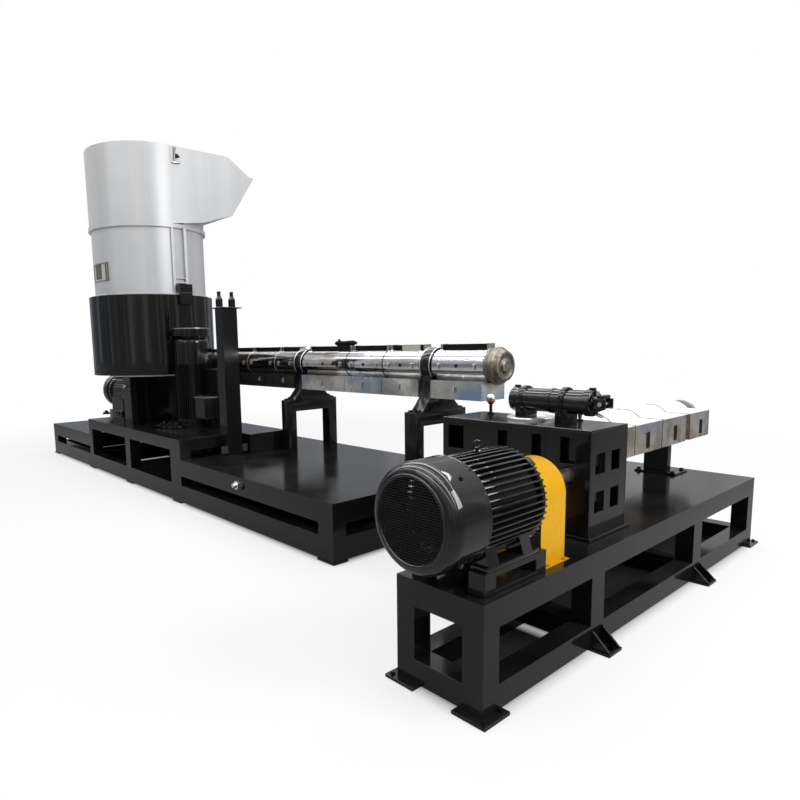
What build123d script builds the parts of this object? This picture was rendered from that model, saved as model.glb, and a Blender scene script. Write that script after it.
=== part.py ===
"""Two-stage plastic extruder with a cutter-compactor drum.

The first base carries the compactor drum, its drives and the long first barrel.
The second base stands across its discharge end and carries motor, gear stand and second barrel.
X runs along the first barrel, Y along the second one, Z is up from the floor. All sizes are
worked out from the floor corner under the second motor, and the finished model is centred last.
"""
import os
from math import cos, radians, sin, sqrt

from build123d import *

os.makedirs("parts", exist_ok=True)

# Plates, joints and clearances
DECK = 12
FOOT = 17
WELD_GAP = 1
FIT = 0.3
SHEET = 3
ROUND_SHEET = 8
PAST = 1
ROLL_CHORDS = 4

# Second base, narrow under the motor and wide under the gear stand and barrel
B2_TOP = 550
B2_SECTION = 118
B2_BOTTOM_RAIL = 124
B2_TOP_RAIL = 122
B2_MID_POST = 140
B2_BAYS = (834, 1265, 970)
B2_MOTOR_WIDTH = 531
B2_WIDTH = 1320
B2_FOOT = 190
B2_FOOT_STANDS_OUT = 45
GUSSET_REACH = 110
GUSSET_HEIGHT = 95
GUSSET_PLATE = 10
GUSSET_TOE = 8

# First base, with a raised part under the drum
B1_RIGHT = -1982
B1_FRONT = 769
B1_DEPTH = 1900
B1_LENGTH = 7318
B1_TOP = 485
B1_SECTION = 130
B1_BOTTOM_RAIL = 187
B1_SLOT = 104
B1_END_BLOCK = 186
B1_STEP_FROM_RIGHT = 2598
B1_HIGH_LENGTH = 2938
B1_HIGH_DEPTH = 1266
B1_HIGH_TOP = 702
B1_HIGH_RAIL = 119
B1_HIGH_POSTS = (132, 153, 247)
B1_HIGH_FIRST_BAY = 1237
B1_PAD = (210, 150)
STEP_BOX = 200
STEP_BOX_DEPTH = 505

# First barrel, its covers, bands and legs
AXIS1_Y = 2310
AXIS1_Z = 1480
BARREL1_END = -1573
BARREL1_R = 95
COVER1_R = 152
COVER1_LENGTHS = (581, 499, 567, 770, 417, 627)
COVER_JOINT = 8
BAND1_WIDTH = 157
BAND2_WIDTH = 148
BAND_THICKNESS = 12
LOWER_BOX_HALF = 165
LOWER_BOX_TOP = 1350
LOWER_BOX_BOTTOM = 1185
LOWER_BOX_LEFT = -6300
STRIP_WIDTH = 70
STRIP_RISE = 40
STRIP_INSET = 30
END_DISC = 26
NOSE_R = 62
NOSE_LENGTH = 41
LEG_X = 140
LEG_Y = 114
LEG_SPAN = 716
LEG_BEAM = 130
LEG_TOP = 1060
SADDLE_FOOT = 530
SADDLE_WAIST = (320, 120)
SADDLE_TOP = 250

# First gearbox and drive motor, on the left part of the first base
GEAR1_LENGTH = 620
GEAR1_WIDTH = 620
GEAR1_TOP = 1760
GEAR1_NECK_R = 190
GEAR1_NECK = 120
GEAR1_ROUND = 60
DRIVE_Y = 1583
DRIVE_Z = 1034
DRIVE_R = 262
DRIVE_COWL = 240
DRIVE_BODY = 620
DRIVE_BELL = 90
DRIVE_BELL_R = 250
DRIVE_PLINTH = 269
DRIVE_PLINTH_INSET = 60
DRIVE_FINS = 40
DRIVE_FIN_THICKNESS = 7
DRIVE_FIN_R = 256
DRIVE_CORE_R = 224
DRIVE_FOOT = (109, 222)
DRIVE_FOOT_INSET = 80
BELT_GUARD = 170
BELT_GUARD_MOTOR_R = 265
BELT_GUARD_GEAR_R = 330
BELT_GUARD_GEAR_Z = 1250

# Compactor drum, placed from the left end of the raised part
DRUM_FROM_LEFT = 844
DRUM_Y = 1468
DRUM_R = 716
DRUM_BOTTOM = 1350
DRUM_FOOT_R = 590
DRUM_RING_Z = 3195
DRUM_RING_R = 747
DRUM_RING_T = 25
HOOD_R = 734
HOOD_TOP = 4190
HOOD_SHEET = 6
JACKET_R = 799
JACKET_TOP = 2358
JACKET_LEDGE_R = 745
JACKET_LEDGE = 22
RAILS_Y = (-5, 168)
RAIL_WIDTH = 35
RAIL_STANDS_OUT = 25
RAIL_CROSS_Z = (2510, 2565)
RAIL_CROSS = 12
SIDE_BOX_Y = (5, 172)
SIDE_BOX_Z = (2240, 2490)
SIDE_BOX_DEPTH = 60
CHUTE_TOP_LENGTH = 851
CHUTE_LIP = (1156, 3979)
CHUTE_LIP_LENGTH = 81
CHUTE_HEEL = (880, 3441)
CHUTE_KNEE = (457, 3303)
CHUTE_FLOOR_FROM = 60
CHUTE_FLOOR = 8
FEED_HALF = 446
FEED_BACK = 2500
FEED_BOTTOM = 1300
FEED_TOP = 1660
FEED_INTO_JACKET = 60
PEDESTAL_RISER = 25
PEDESTAL_RIGHT = 283
PEDESTAL_BODY = (620, 600)
PEDESTAL_LEG = (239, 80)
PEDESTAL_LEG_FRONT = 974
PEDESTAL_GAP = 130
PEDESTAL_SIDE_OUT = 200
PEDESTAL_WEB = 80

# Drum motor, upright beside the drum and placed from its axis
UPRIGHT_FROM_DRUM = 1045
UPRIGHT_Y = 1494
UPRIGHT_R = 225
UPRIGHT_COWL_R = 212
UPRIGHT_FLANGE_Z = 800
UPRIGHT_FIN_TOP = 1482
UPRIGHT_COWL_TOP = 1808
UPRIGHT_CAP_R = 228
UPRIGHT_CAP = 96
UPRIGHT_CAP_GAP = 24
UPRIGHT_CAP_STEM_R = 110
UPRIGHT_CORE_R = 193
UPRIGHT_FINS = 52
UPRIGHT_FIN_THICKNESS = 7
UPRIGHT_COWL_ROUND = 60
UPRIGHT_FLANGE = 30
UPRIGHT_NECK_R = 175
TERMINAL_BOX_X = 100
TERMINAL_BOX_Y = 310
TERMINAL_BOX_Z = (800, 1050)
SLIDE_PLATE = 40
SLIDE_HALF = (290, 250)

# Column beside the raised part
POST_X = 160
POST_Y = 185
POST_LEFT_Y = 1269
POST_TOP = 2102
POST_CAP_OVER = 40
BOTTLE_R = 38
BOTTLE_SHOULDER = (85, 120)
BOTTLE_NECK_R = 20
BOTTLE_HEIGHT = 170
BOTTLE_INSET = 15

# Second motor, coupling guard and shaft
MOTOR2_X = -264
MOTOR2_Z = 911
MOTOR2_FRONT = -190
MOTOR2_COWL_R = 262
MOTOR2_COWL = 250
MOTOR2_COWL_SHEET = 5
MOTOR2_COWL_ROUND = 55
MOTOR2_SPIGOT = 25
MOTOR2_GRILLE_R = 195
GRILLE_WIRE = 4
GRILLE_RING = 7
GRILLE_PITCH = 44
GRILLE_SIDES = 32
GRILLE_HUB_R = 30
GRILLE_SPOKE = 8
MOTOR2_BODY_R = 214
MOTOR2_FIN_R = 250
MOTOR2_BODY_END = 520
MOTOR2_BELL = 30
MOTOR2_BELL_R = 224
MOTOR2_FOOT_SHAPE = ((120, -150), (190, -90), (225, -226), (225, -250), (130, -250))
MOTOR2_FOOT_LENGTH = 80
MOTOR2_FOOT_FROM_ENDS = (60, 150)
EYE_Y = 180
EYE_LIFT = 40
EYE_R = 34
EYE_HOLE_R = 18
EYE_THICKNESS = 16
EYE_STEM_R = 14
MOTOR2_FINS = 46
MOTOR2_FIN_THICKNESS = 11
SHAFT2_R = 42
SUBFRAME_TOP = 661
SUBFRAME_X = (-486, -42)
SUBFRAME_Y = (60, 560)
SUBFRAME_BAR = 90
SUBFRAME_WINDOW_IN = 90
SUBFRAME_SOLE = 18
SUBFRAME_CAP = 32
GUARD_Y = (575, 800)
GUARD_R = 181
GUARD_TOP = 1073
GUARD_FLANGE = 30
COUPLING_R = 110
COUPLING_INSET = 20

# Gear stand on the second base
STAND_RIGHT = -125
STAND_WIDTH = 1070
STAND_FRONT = 1128
STAND_DEPTH = 442
STAND_TOP = 1183
STAND_PLATE = 12
STAND_BASE = 17
STAND_BASE_OVER = 24
BORE_CLEARANCE = 6
CASE2_GAP = 40
CASE2_SIDES = (140, 70)
FRONT_WINDOWS = ((-1147, 129), (-746, 112), (-501, 106), (-312, 94))
FRONT_WINDOW_Z = (980, 1133)
SIDE_WINDOWS_Y = ((1188, 110), (1375, 102))
SIDE_WINDOWS_Z = ((700, 120), (924, 119))

# Hydraulic cylinder on the gear stand
RAM_Y = 1350
RAM_Z = 1323
RAM_R = 66
RAM_CAP_R = 80
RAM_X = (-821, -226)
RAM_END = 45
RAM_ROD_R = 38
RAM_ROD = 60
RAM_BLOCKS = (-687, -407)
RAM_BLOCK = (84, 120)
RAM_STRAP = 30

# Second barrel
AXIS2_X = -660
AXIS2_Z = 985
BARREL2_R = 95
COVER2_R = 152
COVER2_HALF = 296
COVER2_BOX_Z = (869, 1080)
COVER2_STARTS = 1745
COVER2_LENGTHS = (505, 505, 505, 470)
NECK2_R = 150
NECK2 = 165
NOZZLE_R = 118
NOZZLE = 60
SUPPORT_X = 194
SUPPORT_Y = (3420, 3530)
SUPPORT_PLATE = (400, 180)

made = {}


def keep(name, *solids):
    """Keep the solids of one named sub-part."""
    made[name] = list(solids)


def past(span):
    """A span stretched a little beyond both limits, so that a cut runs clean through."""
    return (span[0] - PAST, span[1] + PAST)


def block(x, y, z):
    """A box between two limits along each axis."""
    centre = Pos((x[0] + x[1]) / 2, (y[0] + y[1]) / 2, (z[0] + z[1]) / 2)
    return centre * Box(x[1] - x[0], y[1] - y[0], z[1] - z[0])


def rod_x(x, y, z, radius):
    """A round bar along X."""
    return Pos((x[0] + x[1]) / 2, y, z) * Rot(0, 90, 0) * Cylinder(radius, x[1] - x[0])


def rod_y(x, y, z, radius):
    """A round bar along Y."""
    return Pos(x, (y[0] + y[1]) / 2, z) * Rot(90, 0, 0) * Cylinder(radius, y[1] - y[0])


def rod_z(x, y, z, radius):
    """A round bar along Z."""
    return Pos(x, y, (z[0] + z[1]) / 2) * Cylinder(radius, z[1] - z[0])


def rolled(radius, length, corner, chords=ROLL_CHORDS):
    """A round bar along Z from the origin, with its far edge rolled over in a few flats."""
    steps = [radians(90 * i / chords) for i in range(chords + 1)]
    edge = [(radius - corner + corner * cos(a), length - corner + corner * sin(a)) for a in steps]
    face = Plane.XZ * make_face(Polyline((0, 0), (radius, 0), *edge, (0, length), close=True))
    return revolve(face, Axis.Z)


def plate_yz(outline, x):
    """A flat plate cut to an outline of Y and Z points, between two X limits."""
    face = Plane.YZ.offset(x[0]) * make_face(Polyline(*outline, close=True))
    return extrude(face, x[1] - x[0], dir=(1, 0, 0))


def plate_xz(outline, y):
    """A flat plate cut to an outline of X and Z points, between two Y limits."""
    face = Plane(origin=(0, y[0], 0), x_dir=(1, 0, 0), z_dir=(0, -1, 0)) * make_face(
        Polyline(*outline, close=True))
    return extrude(face, y[1] - y[0], dir=(0, 1, 0))


# Second base
b2_length = 2 * B2_SECTION + 2 * B2_MID_POST + sum(B2_BAYS)
b2_low = (FOOT, FOOT + B2_BOTTOM_RAIL)
b2_high = (B2_TOP - DECK - B2_TOP_RAIL, B2_TOP - DECK)
b2_mid = (b2_low[1], b2_high[0])
post_starts = [0]
for bay, post in zip(B2_BAYS, (B2_SECTION, B2_MID_POST, B2_MID_POST)):
    post_starts.append(post_starts[-1] + post + bay)
post_widths = (B2_SECTION, B2_MID_POST, B2_MID_POST, B2_SECTION)
post_spans = [(start, start + width) for start, width in zip(post_starts, post_widths)]
wide_from = post_spans[1][0]
right_rail = (-B2_SECTION, 0)
motor_rail = (-B2_MOTOR_WIDTH, -B2_MOTOR_WIDTH + B2_SECTION)
left_rail = (-B2_WIDTH, -B2_WIDTH + B2_SECTION)


def base2_rails(z):
    """The three long rails of one level."""
    return [block(right_rail, (0, b2_length), z),
            block(motor_rail, (0, wide_from), z),
            block(left_rail, (wide_from, b2_length), z)]


def base2_crosses(z):
    """The rails across the base at each post."""
    short = block((motor_rail[1], right_rail[0]), post_spans[0], z)
    long = [block((left_rail[1], right_rail[0]), span, z) for span in post_spans[1:]]
    return [short] + long


def base2_feet():
    """Square plates at the corners, and gusseted plates at the posts between the bays."""
    feet = []
    corners = [(0, 1, 0, -1), (-B2_MOTOR_WIDTH, -1, 0, -1),
               (0, 1, b2_length, 1), (-B2_WIDTH, -1, b2_length, 1)]
    for x, side_x, y, side_y in corners:
        near_x = x + side_x * B2_FOOT_STANDS_OUT
        near_y = y + side_y * B2_FOOT_STANDS_OUT
        xs = sorted((near_x, near_x - side_x * B2_FOOT))
        ys = sorted((near_y, near_y - side_y * B2_FOOT))
        feet.append(block(xs, ys, (0, FOOT)))
    sides = [(0, 1, post_spans[1]), (0, 1, post_spans[2]),
             (-B2_WIDTH, -1, post_spans[1]), (-B2_WIDTH, -1, post_spans[2])]
    for x, side, span in sides:
        xs = sorted((x + side * GUSSET_REACH, x - side * B2_SECTION))
        foot = block(xs, span, (0, FOOT))
        toe_x = x + side * (GUSSET_REACH - GUSSET_TOE)
        outline = [(x, FOOT), (toe_x, FOOT), (toe_x, FOOT + GUSSET_TOE),
                   (x + side * GUSSET_TOE, FOOT + GUSSET_HEIGHT), (x, FOOT + GUSSET_HEIGHT)]
        for y in (span[0] + GUSSET_PLATE, span[1] - 2 * GUSSET_PLATE):
            foot += plate_xz(outline, (y, y + GUSSET_PLATE))
        feet.append(foot)
    return feet


keep("base2_deck",
     block((-B2_MOTOR_WIDTH, 0), (0, wide_from - WELD_GAP), (B2_TOP - DECK, B2_TOP)),
     block((-B2_WIDTH, 0), (wide_from, b2_length), (B2_TOP - DECK, B2_TOP)))
keep("base2_long_rails", *base2_rails(b2_high), *base2_rails(b2_low))
keep("base2_cross_rails", *base2_crosses(b2_high), *base2_crosses(b2_low))
keep("base2_posts",
     *[block(right_rail, span, b2_mid) for span in post_spans],
     *[block(motor_rail, span, b2_mid) for span in post_spans[:2]],
     *[block(left_rail, span, b2_mid) for span in post_spans[1:]])
keep("base2_feet", *base2_feet())

# First base
b1_x = (B1_RIGHT - B1_LENGTH, B1_RIGHT)
b1_y = (B1_FRONT, B1_FRONT + B1_DEPTH)
high_x = (B1_RIGHT - B1_STEP_FROM_RIGHT - B1_HIGH_LENGTH, B1_RIGHT - B1_STEP_FROM_RIGHT)
high_y = (B1_FRONT, B1_FRONT + B1_HIGH_DEPTH)
drum_x = high_x[0] + DRUM_FROM_LEFT
upright_x = drum_x + UPRIGHT_FROM_DRUM
b1_low = (FOOT, FOOT + B1_BOTTOM_RAIL)
b1_slot = (b1_low[1], b1_low[1] + B1_SLOT)
b1_top = (b1_slot[1], B1_TOP - DECK)
b1_high = (B1_HIGH_TOP - DECK - B1_HIGH_RAIL, B1_HIGH_TOP - DECK)
front_rail = (b1_y[0], b1_y[0] + B1_SECTION)
back_rail = (b1_y[1] - B1_SECTION, b1_y[1])
step_rail = (high_y[1] - B1_SECTION, high_y[1])
high_posts = [(high_x[0], high_x[0] + B1_HIGH_POSTS[0]),
              (high_x[0] + B1_HIGH_POSTS[0] + B1_HIGH_FIRST_BAY,
               high_x[0] + B1_HIGH_POSTS[0] + B1_HIGH_FIRST_BAY + B1_HIGH_POSTS[1]),
              (high_x[1] - B1_HIGH_POSTS[2], high_x[1])]
end_blocks = [(b1_x[0], b1_x[0] + B1_END_BLOCK), (b1_x[1] - B1_END_BLOCK, b1_x[1])]
cross_x = [(b1_x[0], b1_x[0] + B1_SECTION), (high_x[0] - B1_SECTION, high_x[0]),
           (high_x[1], high_x[1] + B1_SECTION), (b1_x[1] - B1_SECTION, b1_x[1])]
deck1 = (B1_TOP - DECK, B1_TOP)

keep("base1_decks",
     block((high_x[1] + WELD_GAP, b1_x[1]), b1_y, deck1),
     block((high_x[0], high_x[1]), (high_y[1] + WELD_GAP, b1_y[1]), deck1),
     block((b1_x[0], high_x[0] - WELD_GAP), b1_y, deck1),
     block(high_x, high_y, (B1_HIGH_TOP - DECK, B1_HIGH_TOP)))
keep("base1_long_rails",
     block(b1_x, front_rail, b1_low), block(b1_x, back_rail, b1_low),
     block((high_x[0], high_x[1]), step_rail, b1_low),
     block((high_x[1], b1_x[1]), front_rail, b1_top),
     block((b1_x[0], high_x[0]), front_rail, b1_top),
     block(b1_x, back_rail, b1_top),
     block(high_x, front_rail, b1_high), block(high_x, step_rail, b1_high))
keep("base1_posts",
     *[block(span, front_rail, (b1_low[1], b1_high[0])) for span in high_posts],
     *[block(span, step_rail, (b1_low[1], b1_high[0])) for span in high_posts],
     *[block(span, front_rail, b1_slot) for span in end_blocks],
     *[block(span, back_rail, b1_slot) for span in end_blocks + cross_x[1:3]])
cross_y = (front_rail[1], back_rail[0])
keep("base1_cross_rails",
     *[block(span, cross_y, z) for span in cross_x for z in (b1_low, b1_top)],
     *[block(span, (front_rail[1], step_rail[0]), b1_high)
       for span in ((high_x[0], high_x[0] + B1_SECTION), (high_x[1] - B1_SECTION, high_x[1]))])
pad_centres = [(sum(span) / 2, sum(rail) / 2)
               for span in end_blocks + high_posts
               for rail in (front_rail, back_rail)]
keep("base1_pads",
     *[block((x - B1_PAD[0] / 2, x + B1_PAD[0] / 2), (y - B1_PAD[1] / 2, y + B1_PAD[1] / 2), (0, FOOT))
       for x, y in pad_centres])

# Box on the low deck, against the right end of the raised part and level with its back
keep("base1_step_box",
     block((high_x[1] + WELD_GAP, high_x[1] + STEP_BOX), (high_y[1] - STEP_BOX_DEPTH, high_y[1]),
           (B1_TOP, B1_HIGH_TOP)))

# First barrel: the core runs from the gearbox to the end disc
disc_x = (BARREL1_END - END_DISC - NOSE_LENGTH, BARREL1_END - NOSE_LENGTH)
cover_spans = []
edge = disc_x[0]
widths = list(COVER1_LENGTHS)
spans = [("cover", widths[0]), ("band", BAND2_WIDTH), ("cover", widths[1]), ("cover", widths[2]),
         ("cover", widths[3]), ("band", BAND1_WIDTH), ("cover", widths[4]), ("cover", widths[5])]
band_spans = []
for kind, width in spans:
    span = (edge - width, edge)
    edge = span[0]
    (cover_spans if kind == "cover" else band_spans).append(span)
feed_x = (drum_x - FEED_HALF, drum_x + FEED_HALF)
cover_spans.append((feed_x[1], edge))
gear1_x = (high_x[0] - GEAR1_LENGTH - B1_SECTION, high_x[0] - B1_SECTION)
neck1_x = (gear1_x[1], gear1_x[1] + GEAR1_NECK)
cover_spans.append((neck1_x[1], feed_x[0]))


def sleeve_x(span, outer, inner):
    """A round sleeve on the first barrel's axis, shortened by half a joint at each end."""
    x = (span[0] + COVER_JOINT / 2, span[1] - COVER_JOINT / 2)
    return rod_x(x, AXIS1_Y, AXIS1_Z, outer) - rod_x(past(x), AXIS1_Y, AXIS1_Z, inner)


def lower_box(span):
    """The box under one cover, with its top hollowed to the round cover."""
    x = (span[0] + COVER_JOINT / 2, span[1] - COVER_JOINT / 2)
    y = (AXIS1_Y - LOWER_BOX_HALF, AXIS1_Y + LOWER_BOX_HALF)
    box = block(x, y, (LOWER_BOX_BOTTOM, LOWER_BOX_TOP))
    return box - rod_x(past(x), AXIS1_Y, AXIS1_Z, COVER1_R + FIT)


def top_strip(span):
    """The raised vent strip along the crown of one cover."""
    x = (span[0] + STRIP_INSET, span[1] - STRIP_INSET)
    y = (AXIS1_Y - STRIP_WIDTH / 2, AXIS1_Y + STRIP_WIDTH / 2)
    z = (AXIS1_Z + COVER1_R - STRIP_RISE, AXIS1_Z + COVER1_R + STRIP_RISE)
    return block(x, y, z) - rod_x(past(x), AXIS1_Y, AXIS1_Z, COVER1_R + FIT)


def runs(spans):
    """The stretches that covers close up to one another fill, each shortened like a cover."""
    starts = [low for low, high in spans if low not in [end for _, end in spans]]
    ends = [high for low, high in spans if high not in [start for start, _ in spans]]
    half = COVER_JOINT / 2
    return [(low + half, high - half) for low, high in zip(sorted(starts), sorted(ends))]


barrel = rod_x((neck1_x[1], disc_x[0]), AXIS1_Y, AXIS1_Z, BARREL1_R)
barrel += rod_x(disc_x, AXIS1_Y, AXIS1_Z, COVER1_R)
barrel += rod_x((disc_x[1], BARREL1_END), AXIS1_Y, AXIS1_Z, NOSE_R)
for run in runs(cover_spans):
    barrel += rod_x(run, AXIS1_Y, AXIS1_Z, COVER1_R - SHEET - FIT)
keep("barrel1", barrel)
keep("barrel1_covers", *[sleeve_x(span, COVER1_R, COVER1_R - SHEET) for span in cover_spans])
keep("barrel1_lower_boxes",
     *[lower_box(span) for span in cover_spans if span[0] >= LOWER_BOX_LEFT])
keep("barrel1_vent_strips", *[top_strip(span) for span in cover_spans])

leg_ys = [(AXIS1_Y - LEG_SPAN / 2, AXIS1_Y - LEG_SPAN / 2 + LEG_Y),
          (AXIS1_Y + LEG_SPAN / 2 - LEG_Y, AXIS1_Y + LEG_SPAN / 2)]
leg_xs = [((a + b - LEG_X) / 2, (a + b + LEG_X) / 2) for a, b in band_spans]


def band(span):
    """One clamp band and the tapered bracket that carries it on its legs."""
    waist_z = LEG_TOP + SADDLE_WAIST[1]
    right = [(SADDLE_FOOT / 2, LEG_TOP), (SADDLE_WAIST[0] / 2, waist_z), (SADDLE_TOP / 2, AXIS1_Z)]
    outline = [(AXIS1_Y + out, z) for out, z in right] + [(AXIS1_Y - out, z) for out, z in reversed(right)]
    middle = sum(span) / 2
    x = (middle - LEG_X / 2, middle + LEG_X / 2)
    bracket = plate_yz(outline, x)
    bore = rod_x(past(span), AXIS1_Y, AXIS1_Z, BARREL1_R + FIT)
    return sleeve_x(span, COVER1_R + BAND_THICKNESS, BARREL1_R + FIT) + (bracket - bore)


def leg_gate(x):
    """Two legs and the beam over them."""
    gate = block(x, (leg_ys[0][0], leg_ys[1][1]), (B1_TOP, LEG_TOP))
    return gate - block(past(x), (leg_ys[0][1], leg_ys[1][0]), (B1_TOP - PAST, LEG_TOP - LEG_BEAM))


keep("barrel1_legs", *[leg_gate(x) for x in leg_xs])
keep("barrel1_bands", *[band(span) for span in band_spans])

# First gearbox, drive motor and belt guard
gear1_y = (AXIS1_Y - GEAR1_WIDTH / 2, AXIS1_Y + GEAR1_WIDTH / 2)
gear_case = block(gear1_x, gear1_y, (B1_TOP, GEAR1_TOP))
gear_case = fillet(gear_case.edges().filter_by(Axis.X).group_by(Axis.Z)[-1], GEAR1_ROUND)
keep("gearbox1", gear_case + rod_x(neck1_x, AXIS1_Y, AXIS1_Z, GEAR1_NECK_R))
body_x = (gear1_x[0], gear1_x[0] + DRIVE_BODY)
cowl_x = (body_x[1], body_x[1] + DRIVE_COWL)
plinth_x = (body_x[0] + DRIVE_PLINTH_INSET, body_x[1] - DRIVE_PLINTH_INSET)
plinth_z = (B1_TOP, B1_TOP + DRIVE_PLINTH)
keep("drive_motor_plinth", block(plinth_x, (DRIVE_Y - DRIVE_R, DRIVE_Y + DRIVE_R), plinth_z))


def finned(radius, core, fins, thickness, length):
    """A motor body: a round core with straight fins along its axis, drawn along Z."""
    fin = Pos(radius / 2, 0) * Rectangle(radius, thickness)
    profile = RegularPolygon(core, fins) + [Rot(0, 0, 360 / fins * i) * fin for i in range(fins)]
    return extrude(profile, length)


drive_body = Pos(body_x[0], DRIVE_Y, DRIVE_Z) * Rot(0, 90, 0) * finned(
    DRIVE_FIN_R, DRIVE_CORE_R, DRIVE_FINS, DRIVE_FIN_THICKNESS, DRIVE_BODY)
for side in (-1, 1):
    drive_body += block((body_x[0] + DRIVE_FOOT_INSET, body_x[1] - DRIVE_FOOT_INSET),
                        sorted(DRIVE_Y + side * reach for reach in DRIVE_FOOT), (plinth_z[1], DRIVE_Z))
drive_body += rod_x((body_x[0], body_x[0] + DRIVE_BELL), DRIVE_Y, DRIVE_Z, DRIVE_BELL_R)
keep("drive_motor", drive_body + rod_x(cowl_x, DRIVE_Y, DRIVE_Z, DRIVE_R))
guard_x = (gear1_x[0] - BELT_GUARD, gear1_x[0])
belt_cover = make_hull([Pos(DRIVE_Y, DRIVE_Z) * Circle(BELT_GUARD_MOTOR_R).edge(),
                        Pos(AXIS1_Y, BELT_GUARD_GEAR_Z) * Circle(BELT_GUARD_GEAR_R).edge()])
keep("belt_guard", extrude(Plane.YZ.offset(guard_x[0]) * belt_cover, BELT_GUARD, dir=(1, 0, 0)))

# Compactor drum
drum_z = (DRUM_BOTTOM + DECK, DRUM_RING_Z)
keep("drum_floor", rod_z(drum_x, DRUM_Y, (DRUM_BOTTOM, drum_z[0]), DRUM_R)
     + rod_z(drum_x, DRUM_Y, (DRUM_BOTTOM - PEDESTAL_RISER, DRUM_BOTTOM), DRUM_FOOT_R))
ledge_z = (JACKET_TOP + FIT, JACKET_TOP + FIT + JACKET_LEDGE)
keep("drum_shell", rod_z(drum_x, DRUM_Y, drum_z, DRUM_R) + rod_z(drum_x, DRUM_Y, ledge_z, JACKET_LEDGE_R)
     - rod_z(drum_x, DRUM_Y, past(drum_z), DRUM_R - ROUND_SHEET))
ring_z = (DRUM_RING_Z, DRUM_RING_Z + 2 * DRUM_RING_T)
keep("drum_ring", rod_z(drum_x, DRUM_Y, ring_z, DRUM_RING_R)
     - rod_z(drum_x, DRUM_Y, past(ring_z), DRUM_R - ROUND_SHEET))

# Hood: round in front, with straight sides that run back to the feed chute
hood_z = (ring_z[1], HOOD_TOP - HOOD_SHEET)
chute_reach = DRUM_Y + CHUTE_LIP[0] + CHUTE_LIP_LENGTH


def u_plan(radius, reach):
    """A round end with straight sides that run back to a reach in Y, as a flat face."""
    return (Pos(drum_x, DRUM_Y) * Circle(radius)
            + Pos(drum_x, (DRUM_Y + reach) / 2) * Rectangle(2 * radius, reach - DRUM_Y))


chute_side = [(DRUM_Y - 2 * DRUM_R, ring_z[1]), (DRUM_Y, ring_z[1]),
              (DRUM_Y + CHUTE_KNEE[0], CHUTE_KNEE[1]), (DRUM_Y + CHUTE_HEEL[0], CHUTE_HEEL[1]),
              (DRUM_Y + CHUTE_LIP[0] + CHUTE_LIP_LENGTH, CHUTE_LIP[1]),
              (DRUM_Y + CHUTE_LIP[0], CHUTE_LIP[1]),
              (DRUM_Y + CHUTE_TOP_LENGTH, hood_z[1]), (DRUM_Y - 2 * DRUM_R, hood_z[1])]
side_mask = plate_yz(chute_side, past((drum_x - HOOD_R, drum_x + HOOD_R)))
outer = extrude(Pos(0, 0, hood_z[0]) * u_plan(HOOD_R, chute_reach), hood_z[1] - hood_z[0])
inner = extrude(Pos(0, 0, hood_z[0]) * u_plan(HOOD_R - HOOD_SHEET, chute_reach + PAST), hood_z[1] - hood_z[0])
keep("hood_shell", (outer - inner) & side_mask)

under = [(DRUM_Y + CHUTE_KNEE[0], CHUTE_KNEE[1]), (DRUM_Y + CHUTE_HEEL[0], CHUTE_HEEL[1]),
         (DRUM_Y + CHUTE_LIP[0] + CHUTE_LIP_LENGTH, CHUTE_LIP[1])]
floor_line = [(DRUM_Y + CHUTE_FLOOR_FROM, ring_z[1])] + under
floor_outline = floor_line + [(y, z + CHUTE_FLOOR) for y, z in reversed(floor_line)]
clear = HOOD_R - HOOD_SHEET - FIT
chute_floor = plate_yz(floor_outline, (drum_x - clear, drum_x + clear))
chute_floor -= rod_z(drum_x, DRUM_Y, (DRUM_RING_Z, HOOD_TOP), DRUM_RING_R + FIT)
keep("chute_floor", chute_floor)
lid = extrude(Pos(0, 0, hood_z[1]) * u_plan(HOOD_R, DRUM_Y + CHUTE_TOP_LENGTH), HOOD_SHEET)
keep("hood_lid", lid)

# Black jacket round the lower drum, cut back where the feed housing joins
jacket_z = (DRUM_BOTTOM, JACKET_TOP)
jacket = rod_z(drum_x, DRUM_Y, jacket_z, JACKET_R)
jacket -= rod_z(drum_x, DRUM_Y, (jacket_z[0] - PAST, jacket_z[1] - DECK), JACKET_R - ROUND_SHEET)
jacket -= rod_z(drum_x, DRUM_Y, past(jacket_z), DRUM_R + FIT)
feed_y = (DRUM_Y + sqrt(JACKET_R ** 2 - FEED_HALF ** 2) - FEED_INTO_JACKET, FEED_BACK)
feed_z = (FEED_BOTTOM, FEED_TOP)
feed = block(feed_x, feed_y, feed_z)
feed -= rod_z(drum_x, DRUM_Y, past(feed_z), DRUM_R + FIT)
feed -= rod_x(past(feed_x), AXIS1_Y, AXIS1_Z, BARREL1_R + FIT)
jacket -= block((feed_x[0] - FIT, feed_x[1] + FIT), (feed_y[0] - FIT, FEED_BACK),
                (feed_z[0], feed_z[1] + FIT))
keep("drum_jacket", jacket)
keep("feed_housing", feed)

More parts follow.
